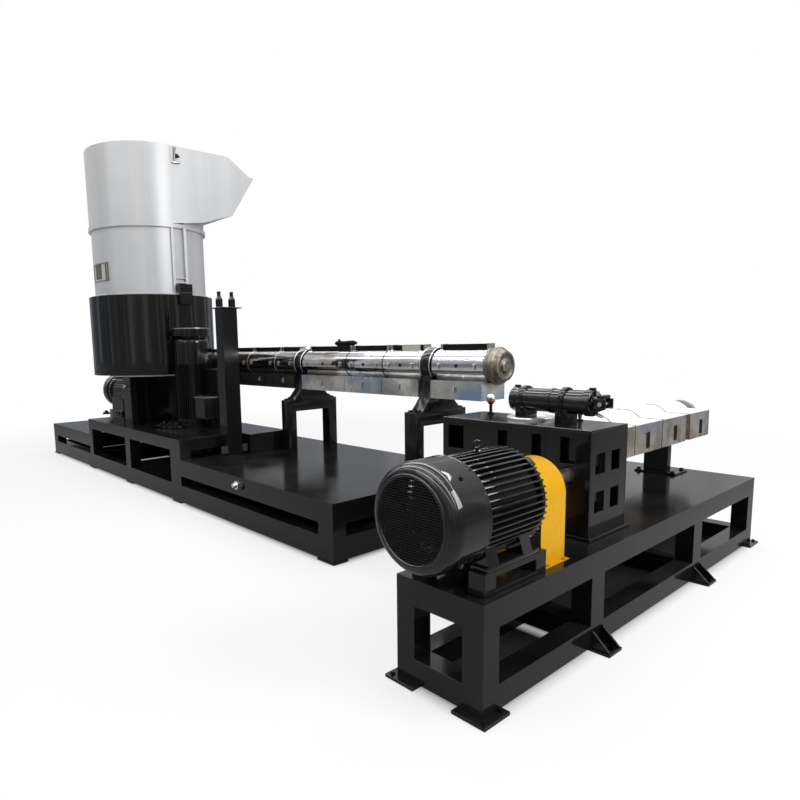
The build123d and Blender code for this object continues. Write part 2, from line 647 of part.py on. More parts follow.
# Two rails up the drum's right side, with cross bars, and the box between their feet
box_x = (drum_x + DRUM_R / 2, drum_x + JACKET_R + SIDE_BOX_DEPTH)
rail_x = (box_x[0], drum_x + DRUM_R + RAIL_STANDS_OUT)
rail_z = (ledge_z[1] + FIT, DRUM_RING_Z - FIT)
rails = block(box_x, (DRUM_Y + SIDE_BOX_Y[0], DRUM_Y + SIDE_BOX_Y[1]), SIDE_BOX_Z)
for y in RAILS_Y:
    rails += block(rail_x, (DRUM_Y + y - RAIL_WIDTH / 2, DRUM_Y + y + RAIL_WIDTH / 2), rail_z)
for z in RAIL_CROSS_Z:
    rails += block(rail_x, (DRUM_Y + RAILS_Y[0], DRUM_Y + RAILS_Y[1]), (z, z + RAIL_CROSS))
rails -= rod_z(drum_x, DRUM_Y, past(drum_z), DRUM_R + FIT)
rails -= rod_z(drum_x, DRUM_Y, (DRUM_BOTTOM, ledge_z[0]), JACKET_R + FIT)
rails -= rod_z(drum_x, DRUM_Y, (DRUM_BOTTOM, ledge_z[1] + FIT), JACKET_LEDGE_R + FIT)
keep("drum_rails", rails)

# Pedestal under the drum, on the raised part of the first base
pedestal_top = DRUM_BOTTOM - PEDESTAL_RISER
pedestal_z = (B1_HIGH_TOP, pedestal_top)
body_px = (drum_x + PEDESTAL_RIGHT - PEDESTAL_BODY[0], drum_x + PEDESTAL_RIGHT)
leg_back = PEDESTAL_LEG_FRONT + PEDESTAL_LEG[1]
side_px = (body_px[0] - PEDESTAL_SIDE_OUT, body_px[0] - PEDESTAL_SIDE_OUT + PEDESTAL_LEG[1])
body_py = (leg_back + PEDESTAL_GAP, leg_back + PEDESTAL_GAP + PEDESTAL_BODY[1])
leg_px = (body_px[1] - PEDESTAL_LEG[0], body_px[1])
pedestal = block(body_px, body_py, pedestal_z) + block(leg_px, (PEDESTAL_LEG_FRONT, leg_back), pedestal_z)
pedestal += block((leg_px[0], leg_px[0] + PEDESTAL_WEB), (leg_back, body_py[0]), pedestal_z)
pedestal += block(side_px, body_py, pedestal_z)
pedestal += block((side_px[1], body_px[0]), (body_py[1] - PEDESTAL_WEB, body_py[1]), pedestal_z)
keep("drum_pedestal", pedestal)

# Upright drum motor
slide_z = (B1_HIGH_TOP, B1_HIGH_TOP + SLIDE_PLATE)
flange_z = (UPRIGHT_FLANGE_Z - UPRIGHT_FLANGE, UPRIGHT_FLANGE_Z)
slide = block((upright_x - SLIDE_HALF[0], upright_x + SLIDE_HALF[0]),
              (UPRIGHT_Y - SLIDE_HALF[1], UPRIGHT_Y + SLIDE_HALF[1]), slide_z)
slide += rod_z(upright_x, UPRIGHT_Y, (slide_z[1], flange_z[0]), UPRIGHT_NECK_R)
slide += rod_z(upright_x, UPRIGHT_Y, flange_z, UPRIGHT_R)
keep("drum_motor_slide", slide)
up_body = Pos(upright_x, UPRIGHT_Y, UPRIGHT_FLANGE_Z) * finned(
    UPRIGHT_R, UPRIGHT_CORE_R, UPRIGHT_FINS, UPRIGHT_FIN_THICKNESS, UPRIGHT_FIN_TOP - UPRIGHT_FLANGE_Z)
up_body += block((upright_x - TERMINAL_BOX_X, upright_x + TERMINAL_BOX_X),
                 (UPRIGHT_Y, UPRIGHT_Y + TERMINAL_BOX_Y), TERMINAL_BOX_Z)
keep("drum_motor", up_body)
up_cowl = Pos(upright_x, UPRIGHT_Y, UPRIGHT_FIN_TOP) * rolled(
    UPRIGHT_COWL_R, UPRIGHT_COWL_TOP - UPRIGHT_FIN_TOP, UPRIGHT_COWL_ROUND)
cap_z = (UPRIGHT_COWL_TOP, UPRIGHT_COWL_TOP + UPRIGHT_CAP_GAP)
up_cap = rod_z(upright_x, UPRIGHT_Y, (cap_z[1], cap_z[1] + UPRIGHT_CAP), UPRIGHT_CAP_R)
up_cap += rod_z(upright_x, UPRIGHT_Y, cap_z, UPRIGHT_CAP_STEM_R)
keep("drum_motor_cowl", up_cowl + up_cap)

# Column beside the raised part, with two fittings on its head
post_x = (high_x[1], high_x[1] + POST_X)
post_y = (POST_LEFT_Y, POST_LEFT_Y + POST_Y)
keep("column", block(post_x, post_y, (B1_TOP, POST_TOP))
     + block((post_x[0] - POST_CAP_OVER, post_x[1] + POST_CAP_OVER),
             (post_y[0] - POST_CAP_OVER, post_y[1] + POST_CAP_OVER), (POST_TOP, POST_TOP + DECK)))
bottle_z = POST_TOP + DECK
bottle_x = sum(post_x) / 2
bottle_side = [(0, 0), (BOTTLE_R, 0), (BOTTLE_R, BOTTLE_SHOULDER[0]), (BOTTLE_NECK_R, BOTTLE_SHOULDER[1]),
               (BOTTLE_NECK_R, BOTTLE_HEIGHT), (0, BOTTLE_HEIGHT)]
bottle = revolve(Plane.XZ * make_face(Polyline(*bottle_side, close=True)), Axis.Z)
keep("column_fittings",
     *[Pos(bottle_x, y, bottle_z) * bottle for y in (post_y[0] + BOTTLE_INSET, post_y[1] - BOTTLE_INSET)])

# Second motor
cowl_y = (MOTOR2_FRONT, MOTOR2_FRONT + MOTOR2_COWL)
body_y = (cowl_y[1], MOTOR2_BODY_END)
cowl = Pos(MOTOR2_X, cowl_y[1], MOTOR2_Z) * Rot(90, 0, 0) * (
    rolled(MOTOR2_COWL_R, MOTOR2_COWL, MOTOR2_COWL_ROUND)
    - rolled(MOTOR2_COWL_R - MOTOR2_COWL_SHEET, MOTOR2_COWL - MOTOR2_COWL_SHEET,
             MOTOR2_COWL_ROUND - MOTOR2_COWL_SHEET, chords=1))
cowl -= rod_y(MOTOR2_X, past((cowl_y[0], cowl_y[0] + MOTOR2_COWL_SHEET)), MOTOR2_Z, MOTOR2_GRILLE_R)
keep("motor2_cowl", cowl)
grille_y = (cowl_y[0], cowl_y[0] + GRILLE_WIRE)
wires = RegularPolygon(GRILLE_HUB_R, GRILLE_SIDES)
for ring in range(MOTOR2_GRILLE_R - GRILLE_RING, GRILLE_HUB_R, -GRILLE_PITCH):
    wires += RegularPolygon(ring + GRILLE_RING - FIT, GRILLE_SIDES) - RegularPolygon(ring, GRILLE_SIDES)
for angle in (0, 45, 90, 135):
    wires += Rot(0, 0, angle) * Rectangle(2 * (MOTOR2_GRILLE_R - GRILLE_RING / 2), GRILLE_SPOKE)
keep("motor2_grille", extrude(Pos(MOTOR2_X, grille_y[1], MOTOR2_Z) * Rot(90, 0, 0) * wires, GRILLE_WIRE))
body = Pos(MOTOR2_X, body_y[0], MOTOR2_Z) * Rot(-90, 0, 0) * finned(
    MOTOR2_FIN_R, MOTOR2_BODY_R, MOTOR2_FINS, MOTOR2_FIN_THICKNESS, body_y[1] - body_y[0])
body += rod_y(MOTOR2_X, (body_y[0] - MOTOR2_SPIGOT, body_y[0]), MOTOR2_Z,
              MOTOR2_COWL_R - MOTOR2_COWL_SHEET - FIT)
body += rod_y(MOTOR2_X, (body_y[1], body_y[1] + MOTOR2_BELL), MOTOR2_Z, MOTOR2_BELL_R)
for side in (-1, 1):
    for y in (body_y[0] + MOTOR2_FOOT_FROM_ENDS[0], body_y[1] - MOTOR2_FOOT_FROM_ENDS[1]):
        outline = [(MOTOR2_X + side * out, MOTOR2_Z + down) for out, down in MOTOR2_FOOT_SHAPE]
        body += plate_xz(outline, (y, y + MOTOR2_FOOT_LENGTH))
eye_z = MOTOR2_Z + MOTOR2_FIN_R + EYE_LIFT
eye_y = (EYE_Y - EYE_THICKNESS / 2, EYE_Y + EYE_THICKNESS / 2)
body += rod_z(MOTOR2_X, EYE_Y, (MOTOR2_Z + MOTOR2_BODY_R, eye_z - EYE_HOLE_R), EYE_STEM_R)
body += rod_y(MOTOR2_X, eye_y, eye_z, EYE_R)
body -= rod_y(MOTOR2_X, past(eye_y), eye_z, EYE_HOLE_R)
keep("motor2_body", body)

# Frame under the second motor: two bars with windows
bars = []
for x in ((SUBFRAME_X[0], SUBFRAME_X[0] + SUBFRAME_BAR), (SUBFRAME_X[1] - SUBFRAME_BAR, SUBFRAME_X[1])):
    bar = block(x, SUBFRAME_Y, (B2_TOP, SUBFRAME_TOP))
    bar -= block(past(x), (SUBFRAME_Y[0] + SUBFRAME_WINDOW_IN, SUBFRAME_Y[1] - SUBFRAME_WINDOW_IN),
                 (B2_TOP + SUBFRAME_SOLE, SUBFRAME_TOP - SUBFRAME_CAP))
    bars.append(bar)
keep("motor2_frame", *bars)

# Coupling shaft and its arched guard
shaft_y = (body_y[1] + MOTOR2_BELL, STAND_FRONT + STAND_PLATE + CASE2_GAP)
coupling_y = (GUARD_Y[0] + COUPLING_INSET, GUARD_Y[1] - COUPLING_INSET)
keep("coupling_shaft", rod_y(MOTOR2_X, shaft_y, MOTOR2_Z, SHAFT2_R)
     + rod_y(MOTOR2_X, coupling_y, MOTOR2_Z, COUPLING_R))


def arch(radius, y):
    """An arch that stands on the deck, as a solid."""
    spring = GUARD_TOP - GUARD_R
    sides = block((MOTOR2_X - radius, MOTOR2_X + radius), y, (B2_TOP, spring))
    return sides + rod_y(MOTOR2_X, y, spring, radius)


guard = arch(GUARD_R, GUARD_Y) - arch(GUARD_R - SHEET, past(GUARD_Y))
for side in (-1, 1):
    edge_x = MOTOR2_X + side * GUARD_R
    flange_x = sorted((edge_x - side * SHEET, edge_x + side * GUARD_FLANGE))
    guard += block(flange_x, GUARD_Y, (B2_TOP, B2_TOP + SHEET))
keep("coupling_guard", guard)

# Gear stand: a box of plates with windows
stand_x = (STAND_RIGHT - STAND_WIDTH, STAND_RIGHT)
stand_y = (STAND_FRONT, STAND_FRONT + STAND_DEPTH)
stand_z = (B2_TOP + STAND_BASE, STAND_TOP - STAND_PLATE)
keep("stand_base", block((stand_x[0] - STAND_BASE_OVER, stand_x[1] + STAND_BASE_OVER),
                         (stand_y[0] - STAND_BASE_OVER, stand_y[1] + STAND_BASE_OVER),
                         (B2_TOP, B2_TOP + STAND_BASE)))
front_y = (stand_y[0], stand_y[0] + STAND_PLATE)
back_y = (stand_y[1] - STAND_PLATE, stand_y[1])
right_x = (stand_x[1] - STAND_PLATE, stand_x[1])
front = block(stand_x, front_y, stand_z)
for x, width in FRONT_WINDOWS:
    front -= block((x, x + width), past(front_y), FRONT_WINDOW_Z)
front -= rod_y(MOTOR2_X, past(front_y), MOTOR2_Z, SHAFT2_R + BORE_CLEARANCE)
inside_y = (front_y[1] + FIT, back_y[0] - FIT)
right_side = block(right_x, inside_y, stand_z)
for y, depth in SIDE_WINDOWS_Y:
    for z, height in SIDE_WINDOWS_Z:
        right_side -= block(past(right_x), (y, y + depth), (z, z + height))
left_side = block((stand_x[0], stand_x[0] + STAND_PLATE), inside_y, stand_z)
back = block(stand_x, back_y, stand_z)
back -= rod_y(AXIS2_X, past(back_y), AXIS2_Z, BARREL2_R + BORE_CLEARANCE)
keep("stand_walls", front, right_side, left_side, back)
keep("stand_top", block(stand_x, stand_y, (STAND_TOP - STAND_PLATE, STAND_TOP)))
case2_y = (shaft_y[1], inside_y[1] - CASE2_GAP)
keep("gearbox2", block((stand_x[0] + CASE2_SIDES[0], stand_x[1] - CASE2_SIDES[1]), case2_y,
                       (stand_z[0], stand_z[1] - CASE2_GAP)))

# Hydraulic cylinder on two blocks
ram = rod_x(RAM_X, RAM_Y, RAM_Z, RAM_R)
for x in (RAM_X[0], RAM_X[1] - RAM_END):
    ram += rod_x((x, x + RAM_END), RAM_Y, RAM_Z, RAM_CAP_R)
ram += rod_x((RAM_X[1], RAM_X[1] + RAM_ROD), RAM_Y, RAM_Z, RAM_ROD_R)
keep("ram", ram)


def ram_block(x):
    """A block under the cylinder with the strap that holds it down."""
    y = (RAM_Y - RAM_BLOCK[1] / 2, RAM_Y + RAM_BLOCK[1] / 2)
    piece = block((x - RAM_BLOCK[0] / 2, x + RAM_BLOCK[0] / 2), y, (STAND_TOP, RAM_Z))
    piece += rod_x((x - RAM_STRAP / 2, x + RAM_STRAP / 2), RAM_Y, RAM_Z, RAM_CAP_R)
    return piece - rod_x(RAM_X, RAM_Y, RAM_Z, RAM_R + FIT)


keep("ram_blocks", *[ram_block(x) for x in RAM_BLOCKS])

# Second barrel
cover2_spans = []
edge = COVER2_STARTS
for length in COVER2_LENGTHS:
    cover2_spans.append((edge, edge + length))
    edge += length
neck2_y = (stand_y[1], stand_y[1] + NECK2)
barrel2 = rod_y(AXIS2_X, (case2_y[1], edge), AXIS2_Z, BARREL2_R)
barrel2 += rod_y(AXIS2_X, neck2_y, AXIS2_Z, NECK2_R)
barrel2 += rod_y(AXIS2_X, (edge, edge + NOZZLE), AXIS2_Z, NOZZLE_R)
lagging2_r = COVER2_R - SHEET - FIT
inner_z = (COVER2_BOX_Z[0] + SHEET, COVER2_BOX_Z[1] - SHEET)
for run in runs(cover2_spans):
    barrel2 += rod_y(AXIS2_X, run, AXIS2_Z, lagging2_r) & block(
        (AXIS2_X - lagging2_r, AXIS2_X + lagging2_r), run, (inner_z[0] + FIT, AXIS2_Z + lagging2_r))


def cover2(y, half, box_z, crown_r):
    """A low box with a round crown along the second barrel, as a solid."""
    crown = rod_y(AXIS2_X, y, AXIS2_Z, crown_r)
    crown &= block((AXIS2_X - crown_r, AXIS2_X + crown_r), y, (AXIS2_Z, AXIS2_Z + crown_r))
    return block((AXIS2_X - half, AXIS2_X + half), y, box_z) + crown


covers2 = []
for span in cover2_spans:
    y = (span[0] + COVER_JOINT / 2, span[1] - COVER_JOINT / 2)
    shell = cover2(y, COVER2_HALF, COVER2_BOX_Z, COVER2_R)
    shell -= cover2(span, COVER2_HALF - SHEET, inner_z, COVER2_R - SHEET)
    covers2.append(shell)
keep("barrel2_covers", *covers2)
keep("barrel2", barrel2)
support_x = (AXIS2_X - SUPPORT_X / 2, AXIS2_X + SUPPORT_X / 2)
plate_x = (AXIS2_X - SUPPORT_PLATE[0] / 2, AXIS2_X + SUPPORT_PLATE[0] / 2)
plate_y = (sum(SUPPORT_Y) / 2 - SUPPORT_PLATE[1] / 2, sum(SUPPORT_Y) / 2 + SUPPORT_PLATE[1] / 2)
keep("barrel2_support", block(support_x, SUPPORT_Y, (B2_TOP + DECK, COVER2_BOX_Z[0] - FIT))
     + block(plate_x, plate_y, (B2_TOP, B2_TOP + DECK)))

# Centre the whole plant over its floor rectangle and write every sub-part
everything = Compound([solid for solids in made.values() for part in solids for solid in part.solids()])
limits = everything.bounding_box()
to_centre = Pos(-(limits.min.X + limits.max.X) / 2, -(limits.min.Y + limits.max.Y) / 2, -limits.min.Z)
for name, solids in made.items():
    pieces = [to_centre * solid for part in solids for solid in part.solids()]
    shape = pieces[0] if len(pieces) == 1 else Compound(pieces)
    export_step(shape, f"parts/{name}.step")
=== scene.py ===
from math import asin, cos, pi, radians, sin, sqrt, tau

import bmesh
import bpy
from mathutils import Matrix, Vector


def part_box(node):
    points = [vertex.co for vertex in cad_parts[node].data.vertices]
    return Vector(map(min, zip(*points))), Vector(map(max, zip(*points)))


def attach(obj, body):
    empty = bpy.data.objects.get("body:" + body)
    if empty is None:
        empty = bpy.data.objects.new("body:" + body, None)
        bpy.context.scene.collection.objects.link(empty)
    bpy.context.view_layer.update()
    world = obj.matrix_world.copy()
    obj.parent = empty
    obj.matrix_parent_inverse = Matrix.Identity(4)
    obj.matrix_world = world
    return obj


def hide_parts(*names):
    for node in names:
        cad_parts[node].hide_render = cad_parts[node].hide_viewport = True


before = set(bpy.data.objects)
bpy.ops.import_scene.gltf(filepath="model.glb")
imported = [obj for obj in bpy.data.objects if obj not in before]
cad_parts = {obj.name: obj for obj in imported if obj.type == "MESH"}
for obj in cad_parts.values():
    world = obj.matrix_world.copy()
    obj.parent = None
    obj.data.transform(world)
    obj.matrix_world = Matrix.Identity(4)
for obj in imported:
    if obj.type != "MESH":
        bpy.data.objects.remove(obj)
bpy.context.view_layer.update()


# Camera: held at a person's eye height, 1.68 m, near the fan end of the second motor.
# It looks along the plant, 49 degrees left of the second barrel's line and 8 degrees down.
def add_object(name, data):
    """A new object in the scene."""
    made = bpy.data.objects.new(name, data)
    bpy.context.scene.collection.objects.link(made)
    return made


eye = Vector((6.138, -3.866, 1.6815))
yaw, pitch, roll = radians(49.195), radians(7.614), radians(-1.103)
ahead = Vector((-sin(yaw) * cos(pitch), cos(yaw) * cos(pitch), -sin(pitch)))
level = Vector((cos(yaw), sin(yaw), 0))
up = level.cross(ahead)
right = cos(roll) * level + sin(roll) * up
top = cos(roll) * up - sin(roll) * level
FOCAL_LENGTH = 27.456
FRAME_SHIFT = (0.0611, 0.0332)
lens = bpy.data.cameras.new("camera")
lens.lens = FOCAL_LENGTH
lens.shift_x, lens.shift_y = FRAME_SHIFT
lens.clip_end = 200
camera = add_object("camera", lens)
camera.matrix_world = Matrix.Translation(eye) @ Matrix((right, top, -ahead)).transposed().to_4x4()
bpy.context.scene.camera = camera
bpy.context.scene.view_settings.view_transform = "Standard"


# Floor and light: a plain pale floor and a white surround, as in a bright hall with rows of ceiling tubes.
# The floor keeps the plant's shadow, with painted shade under each base's deck, and polished sheet and gloss paint
# reflect paler light from above.
class Wire:
    """One socket of a material's nodes. Arithmetic on wires adds Math nodes."""

    def __init__(self, tree, socket):
        self.tree = tree
        self.socket = socket

    def node(self, kind, settings=None, inputs=None, out=0):
        """Add a node, set it up, feed its inputs with wires or values, and give one output."""
        made = self.tree.nodes.new(kind)
        for key, value in (settings or {}).items():
            setattr(made, key, value)
        self.feed(made, inputs or {})
        return Wire(self.tree, made.outputs[out])

    def feed(self, made, inputs):
        """Set or link a node's inputs."""
        for key, value in inputs.items():
            if isinstance(value, Wire):
                self.tree.links.new(value.socket, made.inputs[key])
            else:
                made.inputs[key].default_value = value

    def maths(self, operation, a, b):
        return self.node("ShaderNodeMath", {"operation": operation}, {0: a, 1: b})

    def __add__(self, other):
        return self.maths("ADD", self, other)

    def __sub__(self, other):
        return self.maths("SUBTRACT", self, other)

    def __rsub__(self, other):
        return self.maths("SUBTRACT", other, self)

    def __mul__(self, other):
        return self.maths("MULTIPLY", self, other)

    def __or__(self, other):
        return self.maths("MAXIMUM", self, other)


def noise(spot, scale, detail=3.0, stretch=(1, 1, 1)):
    """A noise value at a spot, with its pattern stretched along an axis if asked."""
    place = spot.node("ShaderNodeMapping", None, {"Vector": spot, "Scale": stretch})
    return spot.node("ShaderNodeTexNoise", None, {"Vector": place, "Scale": scale, "Detail": detail}, "Fac")


def blended(mask, low, high):
    """A colour between two, by a mask from 0 to 1."""
    ends = [tone if isinstance(tone, Wire) else (*tone, 1) for tone in (low, high)]
    return mask.node("ShaderNodeMix", {"data_type": "RGBA"}, {0: mask, 6: ends[0], 7: ends[1]}, 2)


def band(value, low, high):
    """0 below one level of a value, 1 above another, and a slope between them."""
    return value.node("ShaderNodeMapRange", None, {"Value": value, 1: low, 2: high})


def part_of(spot, letter):
    """One coordinate of a vector."""
    return spot.node("ShaderNodeSeparateXYZ", None, {0: spot}, letter)


def seen_by(tree, kind):
    """1 for rays of one kind, 0 for the rest."""
    return Wire(tree, tree.nodes.new("ShaderNodeLightPath").outputs[f"Is {kind} Ray"])


def mesh_of(name, shape):
    """A mesh made of a shape, which is freed."""
    mesh = bpy.data.meshes.new(name)
    shape.to_mesh(mesh)
    shape.free()
    return mesh


SAME_SPOT = 0.00005


def merged(node):
    """A CAD node's own mesh as a closed shape."""
    shape = bmesh.new()
    shape.from_mesh(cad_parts[node].data)
    bmesh.ops.remove_doubles(shape, verts=shape.verts, dist=SAME_SPOT)
    return shape


def solids(node):
    """The lowest and highest corner of each separate solid of a CAD node, sorted along X and then Y."""
    shape = merged(node)
    loose = set(shape.verts)
    found = []
    while loose:
        reached = [loose.pop()]
        places = []
        while reached:
            vert = reached.pop()
            places.append(vert.co.copy())
            for edge in vert.link_edges:
                other = edge.other_vert(vert)
                if other in loose:
                    loose.discard(other)
                    reached.append(other)
        found.append(tuple(Vector(pick(place[axis] for place in places) for axis in range(3))
                           for pick in (min, max)))
    shape.free()
    return sorted(found, key=lambda corners: (round(corners[0].x, 3), corners[0].y))


AMBIENT = 0.5
STRIP_LIGHT = 7
STRIPS = ((-0.1, 0.1), (-0.8, 0.06), (0.7, 0.08))
WHITE = (1, 1, 1)
world = bpy.data.worlds.new("white surround")
bpy.context.scene.world = world
world.use_nodes = True
sky = world.node_tree
shiny = seen_by(sky, "Glossy")
direct = shiny | seen_by(sky, "Camera") | seen_by(sky, "Transmission")
way = Wire(sky, sky.nodes.new("ShaderNodeTexCoord").outputs["Generated"])
walls = blended(band(part_of(way, "X"), -0.5, 0.5), (0.17, 0.19, 0.22), (0.24, 0.21, 0.185))
walls = blended(band(noise(way, 7, 4, (1, 1, 0.12)), 0.52, 0.62) * 0.55, walls, WHITE)
hall = blended(band(part_of(way, "Z"), 0.06, 0.7), walls, WHITE)
lean = way.maths("DIVIDE", part_of(way, "Y"), part_of(way, "Z"))
glow = None
for centre, half in STRIPS:
    off = (lean - centre) * (lean - centre)
    strip = 1 - band(off, half * half * 0.6, half * half)
    glow = strip if glow is None else glow | strip
glow = glow * band(part_of(way, "Z"), 0.25, 0.4) * shiny
direct.feed(sky.nodes["Background"], {
    "Color": blended(shiny, WHITE, hall), "Strength": direct * (1 - AMBIENT) + AMBIENT + glow * STRIP_LIGHT})

floor_paint = bpy.data.materials.new("pale_floor")
floor_paint.use_nodes = True
tree = floor_paint.node_tree
shiny = seen_by(tree, "Glossy")
direct = shiny | seen_by(tree, "Camera")
spot = Wire(tree, tree.nodes.new("ShaderNodeTexCoord").outputs["Object"])
far = band(spot.node("ShaderNodeVectorMath", {"operation": "LENGTH"}, {0: spot}, "Value"), 5, 9)
SHADE_EDGE = 0.07
FLOOR_PALE, FLOOR_PAINTED_SHADE = (0.86, 0.86, 0.86), (0.04, 0.04, 0.04)
# Painted shade: the floor under each base's deck is painted dark and loses its white glow, with a soft edge of
# SHADE_EDGE.
painted_shade_mask = None
for low, high in solids("base1_decks") + solids("base2_deck"):
    inside = None
    for axis, letter in enumerate("XY"):
        at = part_of(spot, letter)
        ramp = (band(at, low[axis] - SHADE_EDGE, low[axis] + SHADE_EDGE)
                * (1 - band(at, high[axis] - SHADE_EDGE, high[axis] + SHADE_EDGE)))
        inside = ramp if inside is None else inside * ramp
    painted_shade_mask = inside if painted_shade_mask is None else painted_shade_mask | inside
white = spot.node("ShaderNodeEmission", None, {
    "Color": (1, 1, 1, 1), "Strength": 1 - shiny * 0.75}, "Emission")
plain = spot.node("ShaderNodeBsdfDiffuse", None, {"Color": blended(painted_shade_mask, FLOOR_PALE, FLOOR_PAINTED_SHADE)}, "BSDF")
share = direct * (1 - painted_shade_mask) * (far * 0.3 + 0.7)
blend = spot.node("ShaderNodeMixShader", None, {0: share, 1: plain, 2: white}, "Shader")
spot.feed(tree.nodes["Material Output"], {"Surface": blend})
shape = bmesh.new()
bmesh.ops.create_grid(shape, x_segments=1, y_segments=1, size=60)
mesh = mesh_of("floor", shape)
mesh.materials.append(floor_paint)
add_object("floor", mesh)

LAMPS = [("key", (1, -9, 8.5), (0, 0, 1.2), 7, 7, 230), ("right", (11, 2, 6), (0, 0, 2), 5, 5, 700),
         ("left", (-11, -4, 6), (-3, 0, 2), 5, 5, 35)]
TUBE_YS = (-7.5, -4.3, -1.1, 2.1, 5.3)
LAMPS += [(f"tube_{row}", (0, y, 8), (0, y, 0), 14, 0.14, 90) for row, y in enumerate(TUBE_YS)]
for name, at, aim, length, width, power in LAMPS:
    lamp = bpy.data.lights.new(name, "AREA")
    lamp.shape = "RECTANGLE"
    lamp.size = length
    lamp.size_y = width
    lamp.energy = power
    turn = (Vector(aim) - Vector(at)).to_track_quat("-Z", "Y").to_matrix().to_4x4()
    add_object(name, lamp).matrix_world = Matrix.Translation(at) @ turn


# Second base: a frame of welded hollow sections with a sheet deck, in black gloss enamel.
# Its sections are ground flush where they meet, every outer edge is a little rounded, and each foot has its bolts.
def start_material(name):
    """A new material, its shader node, and a wire with the object's own coordinates."""
    material = bpy.data.materials.new(name)
    material.use_nodes = True
    nodes = material.node_tree.nodes
    spot = Wire(material.node_tree, nodes.new("ShaderNodeTexCoord").outputs["Object"])
    return material, nodes["Principled BSDF"], spot


def bumped(height, strength, distance):
    """A normal bent by a height."""
    inputs = {"Strength": strength, "Distance": distance, "Height": height}
    return height.node("ShaderNodeBump", None, inputs, "Normal")


def mottled(name, metallic, grain, low, high, haze, swing, base, sheen=0.5):
    """A material with one noise between its two colours, and another noise in its roughness."""
    material, shader, spot = start_material(name)
    spot.feed(shader, {
        "Base Color": blended(noise(spot, *grain), low, high), "Metallic": metallic, "Specular IOR Level": sheen,
        "Roughness": noise(spot, *haze) * swing + base})
    return material


def enamel(name, deep, dusty, gloss, dust=0.5, sheen=0.35, wear=1.0):
    """Gloss enamel on steel: orange peel, slow waves, and dust on what faces up."""
    material, shader, spot = start_material(name)
    facing = part_of(spot.node("ShaderNodeNewGeometry", None, None, "Normal"), "Z")
    settled = band(facing, 0.3, 0.95) * band(noise(spot, 2.3, 6), 0.35, 0.75) * dust
    smear = band(noise(spot, 0.9, 8, (1, 3, 1)), 0.45, 0.7)
    peel = noise(spot, 130, 2) * 0.12 + noise(spot, 1.7, 2)
    spot.feed(shader, {
        "Base Color": blended(settled, deep, dusty), "Specular IOR Level": sheen,
        "Roughness": (settled * 0.25 + smear * 0.1) * wear + gloss, "Normal": bumped(peel, 0.25 * wear, 0.004)})
    return material


def welded(*nodes):
    """CAD nodes that are welded together, as one closed shape without the faces between them."""
    blanks = [add_object(node + "_blank", mesh_of(node + "_blank", merged(node))) for node in nodes]
    for other in blanks[1:]:
        weld = blanks[0].modifiers.new("weld", "BOOLEAN")
        weld.operation = "UNION"
        weld.solver = "EXACT"
        weld.object = other
    shape = bmesh.new()
    shape.from_mesh(blanks[0].evaluated_get(bpy.context.evaluated_depsgraph_get()).to_mesh())
    for blank in blanks:
        bpy.data.objects.remove(blank)
    return shape


def eased(shape, width):
    """Join the flat faces of a shape and round its sharp outer edges over a little."""
    bmesh.ops.dissolve_limit(shape, angle_limit=radians(1), verts=shape.verts, edges=shape.edges)
    sharp = [edge for edge in shape.edges
             if edge.is_manifold and edge.is_convex and edge.calc_face_angle() > radians(30)]
    bmesh.ops.bevel(shape, geom=sharp, offset=width, segments=2, profile=0.5, affect="EDGES", material=-1,
                    clamp_overlap=True)
    return shape


def finish(name, shape, material, *nodes, smooth=None):
    """Make a piece of a shape: its material, its body, and the CAD nodes that it stands for."""
    mesh = mesh_of(name, shape)
    mesh.materials.append(material)
    if smooth:
        mesh.shade_smooth()
        mesh.set_sharp_from_angle(angle=radians(smooth))
    piece = add_object(name, mesh)
    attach(piece, "root")
    if nodes:
        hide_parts(*nodes)


def finish_node(node, width, material=None, smooth=None):
    """Make a piece of a CAD node's own shape, with its edges eased."""
    finish(node + "_finished", eased(merged(node), width), material or black, node, smooth=smooth)


def coat(material, *nodes):
    """Give a finish to CAD nodes whose shape is right."""
    for node in nodes:
        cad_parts[node].material_slots[0].material = material
        UNCOATED.discard(node)


def centre_of(node):
    """The middle of a CAD node's box."""
    low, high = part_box(node)
    return (low + high) / 2


def rod(shape, start, end, radius, end_radius=None, sides=24):
    """Add a closed round bar between two points."""
    start, end = Vector(start), Vector(end)
    turn = (end - start).to_track_quat("Z", "Y").to_matrix().to_4x4()
    bmesh.ops.create_cone(shape, cap_ends=True, segments=sides, radius1=radius,
                          radius2=radius if end_radius is None else end_radius, depth=(end - start).length,
                          matrix=Matrix.Translation((start + end) / 2) @ turn)


def slab(shape, low, high, round_off=0.0, place=Matrix()):
    """Add a box between two corners, with its edges rounded over if asked, and moved or turned to a place."""
    low, high = Vector(low), Vector(high)
    size = Matrix.Diagonal((*(high - low), 1))
    made = bmesh.ops.create_cube(shape, size=1, matrix=place @ Matrix.Translation((low + high) / 2) @ size)
    if round_off:
        edges = list(dict.fromkeys(edge for vert in made["verts"] for edge in vert.link_edges))
        bmesh.ops.bevel(shape, geom=edges, offset=round_off, segments=2, profile=0.5, affect="EDGES", material=-1)


def prism(shape, outline, y_range):
    """Add a solid with an outline of X and Z, drawn out along Y."""
    face = shape.faces.new([shape.verts.new((x, y_range[0], z)) for x, z in outline])
    grown = bmesh.ops.extrude_face_region(shape, geom=[face])["geom"]
    moved = [item for item in grown if isinstance(item, bmesh.types.BMVert)]
    bmesh.ops.translate(shape, verts=moved, vec=(0, y_range[1] - y_range[0], 0))
    bmesh.ops.recalc_face_normals(shape, faces=shape.faces)


SEAM_GAP = 0.00002


def spun(shape, verts, edges, centre, axis, steps):
    """Spin an outline all the way round an axis and close its seam."""
    bmesh.ops.spin(shape, geom=verts + edges, cent=centre, axis=axis, dvec=(0, 0, 0), angle=tau, steps=steps,
                   use_merge=True)
    bmesh.ops.remove_doubles(shape, verts=shape.verts, dist=SEAM_GAP)
    bmesh.ops.recalc_face_normals(shape, faces=shape.faces)


